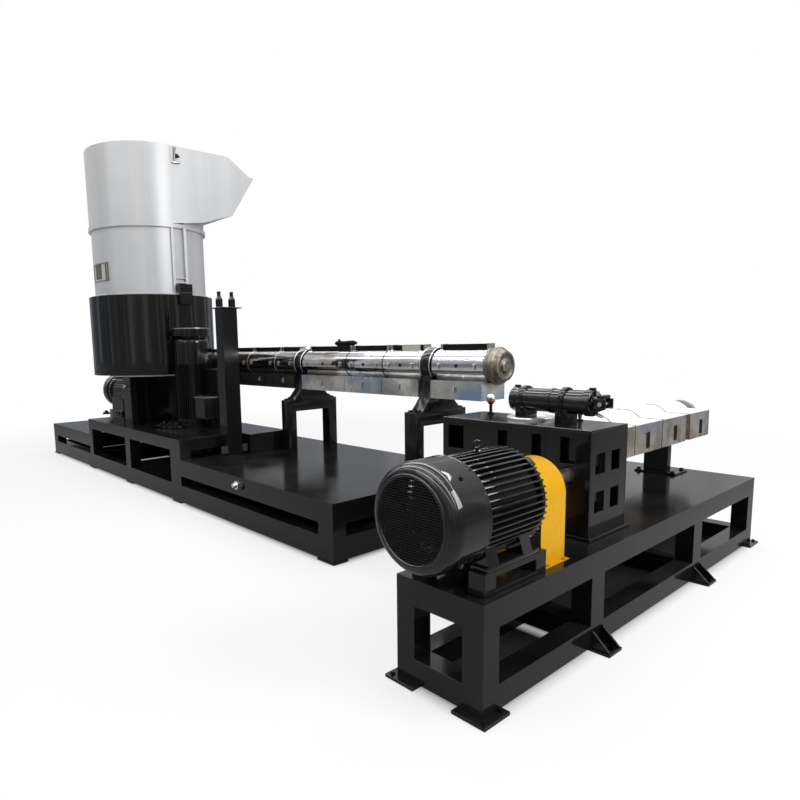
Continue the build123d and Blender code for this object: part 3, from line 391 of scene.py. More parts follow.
def hoop(shape, centre, normal, radius, thickness, steps=28, sides=8):
    """Add a ring of round bar."""
    centre, normal = Vector(centre), Vector(normal).normalized()
    out = normal.orthogonal().normalized()
    verts = [shape.verts.new(centre + out * (radius + thickness * cos(turn)) + normal * thickness * sin(turn))
             for turn in (tau * i / sides for i in range(sides))]
    edges = [shape.edges.new((verts[i], verts[(i + 1) % sides])) for i in range(sides)]
    spun(shape, verts, edges, centre, normal, steps)


def bolt(shape, spot, outward, size):
    """Add a hexagon bolt head on its washer."""
    spot, outward = Vector(spot), Vector(outward).normalized()
    rod(shape, spot, spot + outward * size * 0.15, size * 0.72, sides=16)
    rod(shape, spot + outward * size * 0.15, spot + outward * size * 0.6, size * 0.5, sides=6)


UP = Vector((0, 0, 1))
UNCOATED = set(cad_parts)
black = enamel("black_enamel", (0.006, 0.006, 0.0065), (0.034, 0.031, 0.028), 0.085, wear=0.85)
frame2_nodes = ("base2_long_rails", "base2_cross_rails", "base2_posts", "base2_deck")
finish("base2_welded_frame", eased(welded(*frame2_nodes), 0.004), black, *frame2_nodes)
finish("base2_gusseted_feet", eased(welded("base2_feet"), 0.0015), black, "base2_feet")

zinc = mottled("zinc_plated_steel", 1, (60, 4), (0.38, 0.37, 0.35), (0.6, 0.6, 0.59), (90, 3),
               0.25, 0.18)
FOOT_BOLT = 0.022
BOLT_INSET = 0.028
PLATE_THICK = 0.017
FLAT_FOOT = 0.05
rail_low, rail_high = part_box("base2_long_rails")
foot_bolts = bmesh.new()
for low, high in solids("base2_feet"):
    plate_top = low.z + PLATE_THICK
    outer_x = high.x - BOLT_INSET if high.x > rail_high.x else low.x + BOLT_INSET
    for y in (low.y + BOLT_INSET, high.y - BOLT_INSET):
        if high.z - low.z > FLAT_FOOT and rail_low.y < y < rail_high.y:
            y = (low.y + high.y) / 2
        bolt(foot_bolts, (outer_x, y, plate_top), UP, FOOT_BOLT)
finish("base2_foot_bolts", foot_bolts, black)


# First base: the same sections and enamel, with one part raised under the drum.
# A chrome lifting plug sits in the front rail, and a black cap on the raised deck.
frame1_nodes = ("base1_long_rails", "base1_cross_rails", "base1_posts", "base1_decks")
finish("base1_welded_frame", eased(welded(*frame1_nodes), 0.004), black, *frame1_nodes)
finish_node("base1_pads", 0.002)
finish_node("base1_step_box", 0.004)

chrome, shader, spot = start_material("bright_chrome")
spot.feed(shader, {
    "Base Color": (0.82, 0.82, 0.84, 1), "Metallic": 1.0, "Roughness": noise(spot, 30, 3) * 0.1 + 0.04})
PLUG = Vector((1.2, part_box("base1_long_rails")[0].y, 0.402))
PLUG_COLLAR = Vector((0, -0.012, 0))
plug = bmesh.new()
rod(plug, PLUG, PLUG + PLUG_COLLAR, 0.042)
rod(plug, PLUG + PLUG_COLLAR, PLUG + Vector((0, -0.045, 0)), 0.028, 0.02)
finish("rail_plug", plug, chrome, smooth=35)
socket = bmesh.new()
rod(socket, PLUG + Vector((0.085, 0, 0)), PLUG + Vector((0.085, -0.02, 0)), 0.034, 0.03)
cap_spot = Vector((-3.378, -0.612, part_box("base1_decks")[1].z))
cap_step = cap_spot + UP * 0.03
rod(socket, cap_spot, cap_step, 0.055, 0.045)
rod(socket, cap_step, cap_spot + UP * 0.055, 0.028, 0.022)
finish("base1_caps", socket, black, smooth=35)


# Compactor drum: rolled sheet in silver grey, with a collar ring, a ledge and the hood above it.
# The hood is the same sheet, round in front and straight along the sides of the feed chute.
silver, shader, spot = start_material("silver_grey_sheet")
streak = noise(spot, 5, 5, (1, 1, 0.04))
rolled = band(streak * 0.6 + noise(spot, 0.8, 4) * 0.4, 0.36, 0.64)
spot.feed(shader, {
    "Base Color": blended(rolled, (0.42, 0.435, 0.46), (0.53, 0.53, 0.53)), "Metallic": 0.25,
    "Roughness": streak * 0.16 + 0.34, "Normal": bumped(streak, 0.18, 0.003)})
coat(silver, "drum_shell", "drum_ring", "hood_shell", "hood_lid", "chute_floor", "drum_floor")

ring_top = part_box("drum_ring")[1].z
drum_x, drum_y = centre_of("drum_ring").xy
hood_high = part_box("hood_shell")[1]
hood_r = hood_high.x - drum_x


def turned(profile, centre, axis, steps=72, shape=None):
    """A turned shape: distances along an axis and radii, spun round that axis."""
    if shape is None:
        shape = bmesh.new()
    centre, axis = Vector(centre), Vector(axis)
    out = axis.orthogonal().normalized()
    verts = [shape.verts.new(centre + axis * along + out * radius) for along, radius in profile]
    edges = [shape.edges.new(pair) for pair in zip(verts, verts[1:])]
    spun(shape, verts, edges, centre, axis, steps)
    return shape


def rounded(start, end, corner, steps=6):
    """The points of a quarter round between two points of a profile, bulging towards the corner."""
    start, end, corner = Vector(start), Vector(end), Vector(corner)
    hub = start + end - corner
    return [tuple(hub + (start - hub) * cos(pi / 2 * i / steps) + (end - hub) * sin(pi / 2 * i / steps))
            for i in range(steps + 1)]


def round_drum(angle, radius, z):
    """A point at an angle round the drum's axis."""
    return Vector((drum_x + radius * cos(radians(angle)), drum_y + radius * sin(radians(angle)), z))


def bent_plate(shape, angles, z, radius, thickness, steps=10):
    """Add a plate that follows the drum's round, between two angles and two heights."""
    start, end = angles
    verts = [shape.verts.new(round_drum(start, radius + out, height))
             for out, height in ((0, z[0]), (thickness, z[0]), (thickness, z[1]), (0, z[1]))]
    face = shape.faces.new(verts)
    bmesh.ops.spin(shape, geom=[face, *face.edges, *face.verts], cent=(drum_x, drum_y, 0), axis=UP,
                   dvec=(0, 0, 0), angle=radians(end - start), steps=steps, use_merge=False)


# Hood fittings: a zinc-plated joint strip where the hood opens, with a hinge bracket at its foot.
# The bracket carries a black roller and its pull rod.
SEAM_ANGLE = 3.3
SEAM_HALF = 1.2
SEAM_LENGTH = 0.205
hood_top = hood_high.z
seat = round_drum(SEAM_ANGLE, hood_r, hood_top - SEAM_LENGTH)
fittings = bmesh.new()
bent_plate(fittings, (SEAM_ANGLE - SEAM_HALF, SEAM_ANGLE + SEAM_HALF), (seat.z, hood_top), hood_r + 0.001,
           0.006, 3)
slab(fittings, seat, seat + Vector((0.035, 0.1, 0.012)), 0.002)
slab(fittings, seat + Vector((0, 0.03, 0.01)), seat + Vector((0.03, 0.036, 0.2)), 0.002)
finish("hood_seam_bracket", fittings, zinc, smooth=35)
roller = bmesh.new()
rod(roller, seat + Vector((0.018, 0.036, 0.09)), seat + Vector((0.018, 0.075, 0.09)), 0.026)
rod(roller, seat + Vector((0.018, 0.075, 0.09)), seat + Vector((0.018, 0.1, 0.085)), 0.012)
rod(roller, seat + Vector((0.012, 0.04, 0.12)), seat + Vector((0.012, 0.05, 0.19)), 0.009, sides=12)
finish("hood_roller", roller, black, smooth=35)


# Back of the hood: the same rolled sheet goes on below the chute's sloping floor, down to the collar ring.
# It is cut off along the underside of that floor.
WALL_INSET = 0.012
floor_low, floor_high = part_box("chute_floor")
slope = (floor_high.z - floor_low.z) / (floor_high.y - floor_low.y)
back = bmesh.new()
bent_plate(back, (4, 176), (ring_top, floor_high.z), hood_r - WALL_INSET, 0.008, 40)
bmesh.ops.bisect_plane(back, geom=[*back.verts, *back.edges, *back.faces], plane_no=(0, -slope, 1),
                       plane_co=(0, floor_low.y, floor_low.z - 0.004), clear_outer=True)
bmesh.ops.holes_fill(back, edges=back.edges, sides=200)
bmesh.ops.recalc_face_normals(back, faces=back.faces)
finish("hood_round_back", back, silver, smooth=35)


# Sight window low on the drum: a smoked pane in a frame of zinc-plated bar, bent to the drum's round.
# Two black clips hold the pane on its right.
WINDOW_ANGLES = (-98.0, -68.0)
WINDOW_Z = (2.547, 2.773)
PANE_ANGLES = (-91.5, -79.4)
FRAME_BAR = 0.012
FRAME_TURN = 0.9
DRUM_R = 0.716
bars = bmesh.new()
for start in (WINDOW_ANGLES[0], WINDOW_ANGLES[1] - FRAME_TURN):
    bent_plate(bars, (start, start + FRAME_TURN), WINDOW_Z, DRUM_R, FRAME_BAR, 2)
for z in (WINDOW_Z[0], WINDOW_Z[1] - FRAME_BAR):
    bent_plate(bars, WINDOW_ANGLES, (z, z + FRAME_BAR), DRUM_R, FRAME_BAR, 12)
bmesh.ops.recalc_face_normals(bars, faces=bars.faces)
finish("sight_window_frame", bars, zinc)
pane = bmesh.new()
bent_plate(pane, PANE_ANGLES, (WINDOW_Z[0] + 0.03, WINDOW_Z[1] - 0.016), DRUM_R, 0.006, 6)
for angle in (WINDOW_ANGLES[1] - 3.4, WINDOW_ANGLES[1] - 0.4):
    bent_plate(pane, (angle, angle + 0.7), WINDOW_Z, DRUM_R + 0.006, 0.01, 1)
bmesh.ops.recalc_face_normals(pane, faces=pane.faces)
smoked = mottled("smoked_pane", 0, (20, 3), (0.08, 0.074, 0.062), (0.15, 0.142, 0.122), (12, 3),
                 0.2, 0.5, 0.1)
finish("sight_window_pane", pane, smoked)


# Ledge, rails and control box: a light rolled ring closes the jacket's top against the drum.
# The rails up the drum's side have the drum's own finish, with the black control box between their feet.
jacket_low, jacket_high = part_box("drum_jacket")
inner, outer = DRUM_R - 0.004, DRUM_R + 0.034
ledge = turned([(0, inner), (0, outer - 0.004), (0.008, outer), (0.022, outer), (0.028, outer - 0.006),
                (0.028, inner), (0, inner)], (drum_x, drum_y, jacket_high.z - 0.006), UP, 96)
finish("drum_ledge_ring", ledge, silver, smooth=35)
finish_node("drum_rails", 0.002, silver)
box_face = drum_x + 0.861
box_sides = (drum_y + 0.003, drum_y + 0.174)
rail_box = bmesh.new()
slab(rail_box, (drum_x + 0.7, box_sides[0], 2.382), (box_face, box_sides[1], 2.492), 0.004)
slab(rail_box, (drum_x + 0.802, box_sides[0], 2.238), (box_face, box_sides[1], 2.384), 0.004)
for y in (drum_y + 0.05, drum_y + 0.13):
    bolt(rail_box, (box_face, y, 2.44), (1, 0, 0), 0.03)
finish("rail_control_box", rail_box, black)


# Black jacket, feed housing and pedestal: painted sheet and plate round the drum's lower part.
# The jacket is rolled so true that it mirrors the hall in upright stripes.
gloss_black = enamel("black_gloss_enamel", (0.005, 0.005, 0.0055), (0.02, 0.019, 0.018),
                     0.03, 0.25, 0.5, 0.15)
coat(gloss_black, "drum_jacket", "feed_housing")
finish_node("drum_pedestal", 0.005)
pedestal_low, pedestal_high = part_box("drum_pedestal")
knob = bmesh.new()
knob_spot = Vector((pedestal_high.x - 0.06, pedestal_low.y, 1.2))
rod(knob, knob_spot, knob_spot - Vector((0, 0.03, 0)), 0.012)
bmesh.ops.create_uvsphere(knob, u_segments=20, v_segments=12, radius=0.03,
                          matrix=Matrix.Translation(knob_spot - Vector((0, 0.045, 0))))
finish("pedestal_knob", knob, zinc, smooth=50)
skirt = bmesh.new()
jacket_r = jacket_high.x - drum_x
for angle in range(-150, 61, 30):
    head = round_drum(angle, jacket_r, jacket_low.z + 0.05)
    bolt(skirt, head, head - Vector((drum_x, drum_y, head.z)), 0.02)
finish("jacket_bolts", skirt, black)


# First gearbox, belt guard and drive motor on the low left part of the first base.
# The gearbox is a fabricated case with a bolted round flange, the motor a finned cast body.
def round_x(angle, radius=1):
    """A step outwards from an axis along X, at an angle in degrees."""
    return Vector((0, cos(radians(angle)), sin(radians(angle)))) * radius


finish_node("gearbox1", 0.004, smooth=35)
axis1_y, axis1_z = centre_of("barrel1").yz
neck_centre = Vector((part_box("gearbox1")[1].x - 0.12, axis1_y, axis1_z))
NECK_R = 0.22
neck = bmesh.new()
for angle in range(0, 360, 30):
    bolt(neck, neck_centre + round_x(angle, NECK_R), (1, 0, 0), 0.028)
finish("gearbox1_bolts", neck, zinc)
finish_node("belt_guard", 0.004, smooth=35)
finish_node("drive_motor_plinth", 0.004, smooth=35)


# Upright drum motor: finned body on a slide base, with a rolled cowl and a rain cap over it.
# A bright pressed rim runs under the cap, and the slide has its adjusting screws.
motor_x, motor_y = centre_of("drum_motor_cowl").xy
cap_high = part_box("drum_motor_cowl")[1]
cap_r = cap_high.x - motor_x
RIM = 0.012
rim = turned([(0, cap_r - RIM), (0, cap_r + 0.002), (RIM, cap_r + 0.002), (RIM, cap_r - RIM), (0, cap_r - RIM)],
             (motor_x, motor_y, cap_high.z - RIM), UP)
finish("drum_motor_rim", rim, zinc, smooth=35)
slide_low, slide_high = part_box("drum_motor_slide")
screw_xs = (slide_low.x + 0.12, motor_x, slide_high.x - 0.12)
plate_z = slide_low.z + 0.04
slide_parts = bmesh.new()
for x in (slide_low.x + 0.05, slide_high.x - 0.05):
    for y in (slide_low.y + 0.05, slide_high.y - 0.05):
        bolt(slide_parts, (x, y, plate_z), UP, 0.04)
for x in screw_xs:
    lug = Vector((x, slide_low.y - 0.03, plate_z - 0.015))
    rod(slide_parts, lug, lug + Vector((0, -0.16, 0)), 0.011, sides=12)
    bolt(slide_parts, lug + Vector((0, -0.05, 0)), (0, -1, 0), 0.034)
    bolt(slide_parts, lug + Vector((0, -0.1, 0)), (0, -1, 0), 0.034)
finish("drum_motor_slide_screws", slide_parts, black)
lugs = bmesh.new()
for x in screw_xs:
    slab(lugs, (x - 0.03, slide_low.y - 0.1, slide_low.z), (x + 0.03, slide_low.y - 0.085, plate_z + 0.03), 0.002)
finish("drum_motor_slide_lugs", lugs, black)


# Terminal box and starter cabinet: folded sheet boxes in black enamel beside the drum motor, on a plinth.
# The terminal box has a lid of bright plated sheet.
motor_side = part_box("drum_motor")[1].x
slide_top = slide_high.z
box_low = Vector((motor_side - 0.03, motor_y - 0.12, slide_top + 0.02))
box_high = Vector((-0.53, motor_y + 0.06, 1.08))
terminal = bmesh.new()
slab(terminal, box_low, box_high, 0.004)
slab(terminal, (motor_side - 0.04, motor_y + 0.07, slide_top), (-0.55, motor_y + 0.26, 1.42), 0.004)
slab(terminal, (motor_side - 0.06, motor_y + 0.02, slide_top - 0.098), (-0.6, motor_y + 0.24, slide_top + 0.001),
     0.004)
finish("drum_motor_terminal_box", terminal, black)
lid = bmesh.new()
slab(lid, (box_low.x, box_low.y - 0.004, box_high.z), box_high + Vector((0.004, 0, 0.006)), 0.001)
finish("drum_motor_terminal_lid", lid, zinc)


# Column beside the raised part: a square hollow section with a plate cap, in black enamel.
# A charging fitting stands at each side of its head.
finish_node("column", 0.004)


# First barrel: an inner barrel in polished stainless covers, held in clamp bands on two leg gates.
# Each cover is rolled in two halves, closed by toggle latches along its middle, with a box of its own below.
mirror, shader, spot = start_material("polished_stainless")
dents = noise(spot, 3.2, 3) + noise(spot, 14, 2) * 0.18
haze = band(noise(spot, 6, 6), 0.35, 0.75)
# Painted reflection: patches of brownish and of bluish grey in the base colour stand for the hall mirrored in the
# covers.
painted_reflection_tint = band(noise(spot, 1.6, 5), 0.35, 0.65)
spot.feed(shader, {
    "Base Color": blended(painted_reflection_tint, (0.5, 0.455, 0.42), (0.68, 0.69, 0.71)), "Metallic": 1.0,
    "Roughness": haze * 0.14 + 0.05, "Normal": bumped(dents, 0.5, 0.012)})
coat(mirror, "barrel1_covers")
box_steel, shader, spot = start_material("box_stainless")
DARK_TO = 0.27
# Painted reflection: light and dark grey patches and bluish ones in the base colour stand for the hall mirrored in
# the box sides.
painted_reflection_patches = band(noise(spot, 3.1, 4), 0.38, 0.62)
painted_blue_reflection = band(noise(spot, 2.3, 2), 0.56, 0.66)
steel = blended(painted_blue_reflection, blended(painted_reflection_patches, (0.3, 0.3, 0.29), (0.66, 0.65, 0.62)), (0.25, 0.33, 0.46))
spot.feed(shader, {
    "Base Color": blended(band(part_of(spot, "X"), DARK_TO, DARK_TO + 0.02), (0.05, 0.048, 0.046), steel),
    "Metallic": 0.6, "Roughness": painted_reflection_patches * 0.15 + 0.18})
coat(box_steel, "barrel1_lower_boxes")

scorched, shader, spot = start_material("heat_brown_steel")
rust = band(noise(spot, 22, 5), 0.3, 0.7)
spot.feed(shader, {
    "Base Color": blended(rust, (0.1, 0.078, 0.062), (0.27, 0.24, 0.21)), "Metallic": 0.85,
    "Roughness": noise(spot, 40, 4) * 0.25 + 0.28, "Normal": bumped(noise(spot, 120, 3), 0.2, 0.002)})
coat(scorched, "barrel1", "coupling_shaft")
COVER_R = 0.152
LIP_R = COVER_R - 0.002
covers = solids("barrel1_covers")
end_cap = turned(
    [(0, 0), (0, LIP_R), (0.04, LIP_R), (0.042, LIP_R - 0.008), (0.05, LIP_R - 0.008),
     *rounded((0.052, LIP_R + 0.014), (0.092, LIP_R - 0.006), (0.085, LIP_R + 0.016), 5), (0.13, 0.128),
     (0.134, 0.122), (0.134, 0.1), (0.124, 0.094), (0.122, 0.07), (0.128, 0.064),
     *rounded((0.134, 0.06), (0.146, 0.03), (0.146, 0.055), 4), (0.148, 0)],
    (covers[-1][1].x - 0.002, axis1_y, axis1_z), (1, 0, 0), 64)
finish("barrel1_end_cap", end_cap, scorched, smooth=35)

# The joints between the covers are bright rings on the left and sooty ones from DARK_FROM on.
DARK_FROM = 0.2
JOINT_HALF = 0.006
BAND_SPACE = 0.05
joint_rings = {True: bmesh.new(), False: bmesh.new()}
inner, outer = COVER_R - 0.004, COVER_R + 0.0015
for (_, high), (next_low, _) in zip(covers, covers[1:]):
    if next_low.x - high.x < BAND_SPACE:
        middle = (high.x + next_low.x) / 2
        turned([(-JOINT_HALF, inner), (-JOINT_HALF, outer), (JOINT_HALF, outer), (JOINT_HALF, inner),
                (-JOINT_HALF, inner)], (middle, axis1_y, axis1_z), (1, 0, 0), 48, joint_rings[middle > DARK_FROM])

LATCH_INSET = 0.085
HOLED_COVERS = 4
latches = bmesh.new()
vents = bmesh.new()
for low, high in covers:
    for x in (low.x + LATCH_INSET, high.x - LATCH_INSET):
        for side in (-1, 1):
            at = Vector((x, axis1_y + side * COVER_R, axis1_z))
            slab(latches, at + Vector((-0.011, min(0, side * 0.006), -0.026)),
                 at + Vector((0.011, max(0, side * 0.006), 0.026)), 0.0015)
            hinge = at + Vector((0, side * 0.01, 0.014))
            rod(latches, hinge - Vector((0.014, 0, 0)), hinge + Vector((0.014, 0, 0)), 0.005, sides=12)
            rod(latches, at + Vector((0, side * 0.007, 0.014)), at + Vector((0, side * 0.016, -0.022)), 0.0045,
                sides=12)
# Painted shade: each thermocouple hole is a dark disc set in the cover, not an opening.
for low, high in covers[-HOLED_COVERS:]:
    at = Vector(((low.x + high.x) / 2, axis1_y - COVER_R, axis1_z))
    rod(vents, at - Vector((0, 0.0012, 0)), at + Vector((0, 0.006, 0)), 0.017)
finish("barrel1_latches", latches, zinc, smooth=35)

box_latches = bmesh.new()
for low, high in solids("barrel1_lower_boxes"):
    middle = (low.x + high.x) / 2
    slab(box_latches, (middle - 0.018, low.y - 0.008, low.z + 0.06), (middle + 0.018, low.y, low.z + 0.12),
         0.0015)
    rod(box_latches, (middle, low.y - 0.012, low.z + 0.11), (middle, low.y - 0.02, low.z + 0.07), 0.006, sides=12)
finish("barrel1_box_latches", box_latches, zinc)

# A dull black for black parts, also used as painted shade in the thermocouple holes and the panel slots.
dull_black_and_painted_shade = mottled("dull_black_painted_shade", 0, (30, 4), (0.002, 0.002, 0.002), (0.007, 0.006, 0.005), (50, 3),
               0.3, 0.5, 0.12)
bright_steel = mottled("machined_steel", 0.8, (50, 4), (0.6, 0.59, 0.57), (0.82, 0.81, 0.8),
                       (120, 2), 0.15, 0.28)
finish("barrel1_thermocouple_holes", vents, dull_black_and_painted_shade)
finish("barrel1_dark_joints", joint_rings[True], dull_black_and_painted_shade, smooth=35)
finish("barrel1_bright_joints", joint_rings[False], bright_steel, smooth=35)

strips = solids("barrel1_vent_strips")
clips = bmesh.new()
for low, high in strips:
    for x in (low.x - 0.012, high.x - 0.014):
        slab(clips, (x, low.y - 0.006, high.z - 0.05), (x + 0.026, high.y + 0.006, high.z + 0.004), 0.002)
finish("barrel1_strip_clips", clips, zinc)
finish_node("barrel1_vent_strips", 0.003, dull_black_and_painted_shade)

pale = mottled("pale_plate", 0.4, (30, 4), (0.4, 0.42, 0.36), (0.52, 0.53, 0.47), (60, 3),
               0.2, 0.4)
low, high = strips[-2]
plate = bmesh.new()
slab(plate, (low.x + 0.14, low.y - 0.003, high.z - 0.045), (low.x + 0.38, high.y + 0.003, high.z + 0.003), 0.002)
finish("barrel1_junction_cover", plate, pale)

low, high = strips[-4]
valve_spot = Vector((high.x - 0.3, (low.y + high.y) / 2, high.z + 0.03))
valve = turned([(0, 0), (0, 0.016), (0.03, 0.016), (0.03, 0.027), (0.1, 0.027), (0.105, 0.024), (0.2, 0.024),
                (0.205, 0.028), (0.3, 0.028), (0.3, 0.018), (0.34, 0.018), (0.34, 0)], valve_spot, (1, 0, 0), 24)
rod(valve, valve_spot + Vector((0.06, 0, 0)), valve_spot + Vector((0.06, 0, 0.045)), 0.014, sides=12)
slab(valve, valve_spot + Vector((0.05, -0.02, -0.031)), valve_spot + Vector((0.29, 0.02, -0.015)), 0.002)
finish("barrel1_top_valve", valve, dull_black_and_painted_shade, smooth=35)


# Clamp bands and leg gates: black steel bands round the covers, each on a gate of welded hollow section.
# Every band has two bright bent edges, and a bolted lug at each side of its saddle.
finish_node("barrel1_bands", 0.003, smooth=35)
finish_node("barrel1_legs", 0.005, smooth=35)
EDGE_INSET = 0.012
LUG_THICK = 0.016
hoops = bmesh.new()
saddles = bmesh.new()
for low, high in solids("barrel1_bands"):
    for x in (low.x + EDGE_INSET, high.x - EDGE_INSET):
        hoop(hoops, (x, axis1_y, axis1_z), (1, 0, 0), COVER_R + 0.012, 0.004)
    middle = (low.x + high.x) / 2
    for y in (low.y - 0.03, high.y + 0.03):
        slab(saddles, (middle - 0.05, y - 0.035, low.z), (middle + 0.05, y + 0.035, low.z + LUG_THICK), 0.002)
        bolt(saddles, (middle, y, low.z + LUG_THICK), UP, 0.034)
finish("barrel1_band_edges", hoops, bright_steel, smooth=50)
finish("saddle_lugs", saddles, black)


# Second motor: cast finned body on feet, with a spun fan cowl whose mouth is closed by a woven wire grille.
# The cowl's shoulder is rolled over in one smooth curve and its mouth has a raised bead.
def round_y(angle, radius=1):
    """A step outwards from an axis along Y, at an angle in degrees."""
    return Vector((cos(radians(angle)), 0, sin(radians(angle)))) * radius


cowl_low, cowl_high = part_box("motor2_cowl")
motor2_x, motor2_z = centre_of("motor2_cowl").xz
cowl_r = cowl_high.x - motor2_x
end = cowl_high.y - cowl_low.y
MOUTH_R = 0.195
SHOULDER = 0.075
BEAD = 0.009
skin, lining = cowl_r - 0.0015, cowl_r - 0.004
bead = [(BEAD * (1 - sin(pi * i / 6)) + 0.0001, MOUTH_R + BEAD * (1 - cos(pi * i / 6))) for i in range(6, -1, -1)]
profile = [
    (end, lining), (end, cowl_r), (end - 0.01, cowl_r), (end - 0.012, skin), (end - 0.016, skin),
    *rounded((SHOULDER, skin), (0.006, cowl_r - SHOULDER + 0.02), (0.006, skin), 12), (0.006, MOUTH_R + 2.1 * BEAD),
    *bead, (0.012, MOUTH_R), (0.014, cowl_r - SHOULDER), (SHOULDER, lining - 0.002), (end, lining)]
cowl = turned(profile, (motor2_x, cowl_low.y, motor2_z), (0, 1, 0), 120)
finish("motor2_fan_cowl", cowl, gloss_black, "motor2_cowl", smooth=35)

WEAVE = 0.0125
WIRE_R = 0.0022
grille = bmesh.new()
mouth = Vector((motor2_x, cowl_low.y + 0.009, motor2_z))
rows = int(MOUTH_R / WEAVE)
for row in range(-rows, rows + 1):
    off = row * WEAVE
    half = sqrt(MOUTH_R ** 2 - off ** 2) + 0.002
    rod(grille, mouth + Vector((-half, 0, off)), mouth + Vector((half, 0, off)), WIRE_R, sides=6)
    rod(grille, mouth + Vector((off, WIRE_R, -half)), mouth + Vector((off, WIRE_R, half)), WIRE_R, sides=6)
finish("motor2_wire_grille", grille, black, "motor2_grille", smooth=50)
BLADE_TURN = 40
fan = turned([(0.004, 0), (0.004, 0.028), (0.01, 0.034), (0.034, 0.036), (0.034, 0)], mouth, (0, 1, 0), 32)
for angle in range(0, 360, BLADE_TURN):
    start = mouth + Vector((0, 0.035, 0)) + round_y(angle, 0.035)
    rod(fan, start, start + round_y(angle, 0.15), 0.012, 0.02, sides=4)
finish("motor2_fan", fan, dull_black_and_painted_shade, smooth=35)


# Motor body: a cast core with long cooling fins and a bell at its drive end, on ribbed feet.
# Its eye bolt, rim lugs and screws are separate, and a welded frame carries the feet.
body_low, body_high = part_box("motor2_body")
FINS = 48
FIN_ROOT = 0.214
FIN_TIP = 0.25
FIN_HALF = 0.0052
BELL = 0.03
LOWEST_FIN = -0.86
FOOT_X, FOOT_HALF = 0.175, 0.048
RIB = [(0.12, -0.15), (0.172, -0.12), (0.19, -0.125), (0.221, -0.228), (0.12, -0.228)]
RIB_THICK = 0.078
back_y, bell_y = body_high.y, body_high.y - BELL
fin_start, fin_end = cowl_high.y - 0.012, bell_y - 0.006
axis2 = Vector((motor2_x, 0, motor2_z))
core = turned(
    [(body_low.y, 0), (body_low.y, 0.2), (cowl_high.y - 0.006, 0.206), (cowl_high.y, FIN_ROOT),
     (bell_y - 0.03, FIN_ROOT), (bell_y - 0.028, FIN_TIP - 0.012), (bell_y - 0.004, FIN_TIP - 0.012),
     (bell_y, FIN_TIP - 0.016), (bell_y + 0.004, 0.2), (back_y - 0.012, 0.17), (back_y - 0.008, 0.1),
     (back_y, 0.09), (back_y, 0)], axis2, (0, 1, 0), 96)
finish("motor2_core", core, dull_black_and_painted_shade, smooth=35)
body = bmesh.new()
for turn in range(FINS):
    angle = tau * (turn + 0.5) / FINS
    if sin(angle) > LOWEST_FIN:
        slab(body, (FIN_ROOT - 0.01, fin_start, -FIN_HALF), (FIN_TIP, fin_end, FIN_HALF), 0.0016,
             Matrix.Translation(axis2) @ Matrix.Rotation(-angle, 4, "Y"))
for side in (-1, 1):
    foot_x = motor2_x + side * FOOT_X
    slab(body, (foot_x - FOOT_HALF, fin_start + 0.03, body_low.z + 0.007),
         (foot_x + FOOT_HALF, fin_end - 0.02, body_low.z + 0.03), 0.004)
    for rib_y in (fin_start + 0.045, fin_end - 0.155):
        prism(body, [(motor2_x + side * x, motor2_z + z) for x, z in RIB], (rib_y, rib_y + RIB_THICK))
EYE = Vector((4.337, -1.512, 1.197))
rod(body, (EYE.x, EYE.y, motor2_z + FIN_ROOT), (EYE.x, EYE.y, EYE.z - 0.016), 0.009, sides=16)
rod(body, (EYE.x, EYE.y, motor2_z + FIN_TIP - 0.004), (EYE.x, EYE.y, motor2_z + FIN_TIP + 0.004), 0.018, sides=20)
hoop(body, EYE, (1, -0.55, 0), 0.0175, 0.0042)
finish("motor2_finned_body", body, gloss_black, "motor2_body", smooth=35)

screws = bmesh.new()
for angle, back, size in ((49, 0.102, 0.02), (131, 0.102, 0.02), (229, 0.102, 0.02), (311, 0.102, 0.02),
                          (56, 0.012, 0.01), (124, 0.012, 0.01)):
    at = axis2 + Vector((0, cowl_high.y - back, 0)) + round_y(angle, cowl_r - 0.003)
    bolt(screws, at, round_y(angle), size)
finish("motor2_cowl_screws", screws, black)
rim_lugs = bmesh.new()
for angle in (50, 130, 230, 310):
    slab(rim_lugs, (FIN_ROOT, fin_end - 0.035, -0.024), (FIN_TIP + 0.004, fin_end + 0.004, 0.024), 0.004,
         Matrix.Translation(axis2) @ Matrix.Rotation(-radians(angle), 4, "Y"))
for angle in (-4, 11, 25, 36, 58, 90, 144, 169):
    bolt(rim_lugs, axis2 + Vector((0, fin_end + 0.002, 0)) + round_y(angle, FIN_TIP - 0.02), (0, -1, 0), 0.016)
finish("motor2_rim_lugs", rim_lugs, gloss_black, smooth=35)
foot_screws = bmesh.new()
for low, high in solids("motor2_frame"):
    for y in (low.y + 0.05, (low.y + high.y) / 2, high.y - 0.05):
        bolt(foot_screws, ((low.x + high.x) / 2, y, high.z), UP, 0.026)
finish("motor2_foot_bolts", foot_screws, black)
finish_node("motor2_frame", 0.004)


# Coupling guard: sheet bent over in an arch, in bright yellow enamel.
# Its flanges are bolted to the deck with small plated bolts.
yellow = enamel("yellow_enamel", (0.6, 0.31, 0.002), (0.55, 0.3, 0.006), 0.25, 0.2, 0.15)
coat(yellow, "coupling_guard")
low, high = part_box("coupling_guard")
guard_bolts = bmesh.new()
for x in (low.x + 0.012, high.x - 0.012):
    for y in (low.y + 0.04, high.y - 0.04):
        bolt(guard_bolts, (x, y, low.z + 0.003), UP, 0.014)
finish("guard_bolts", guard_bolts, zinc)


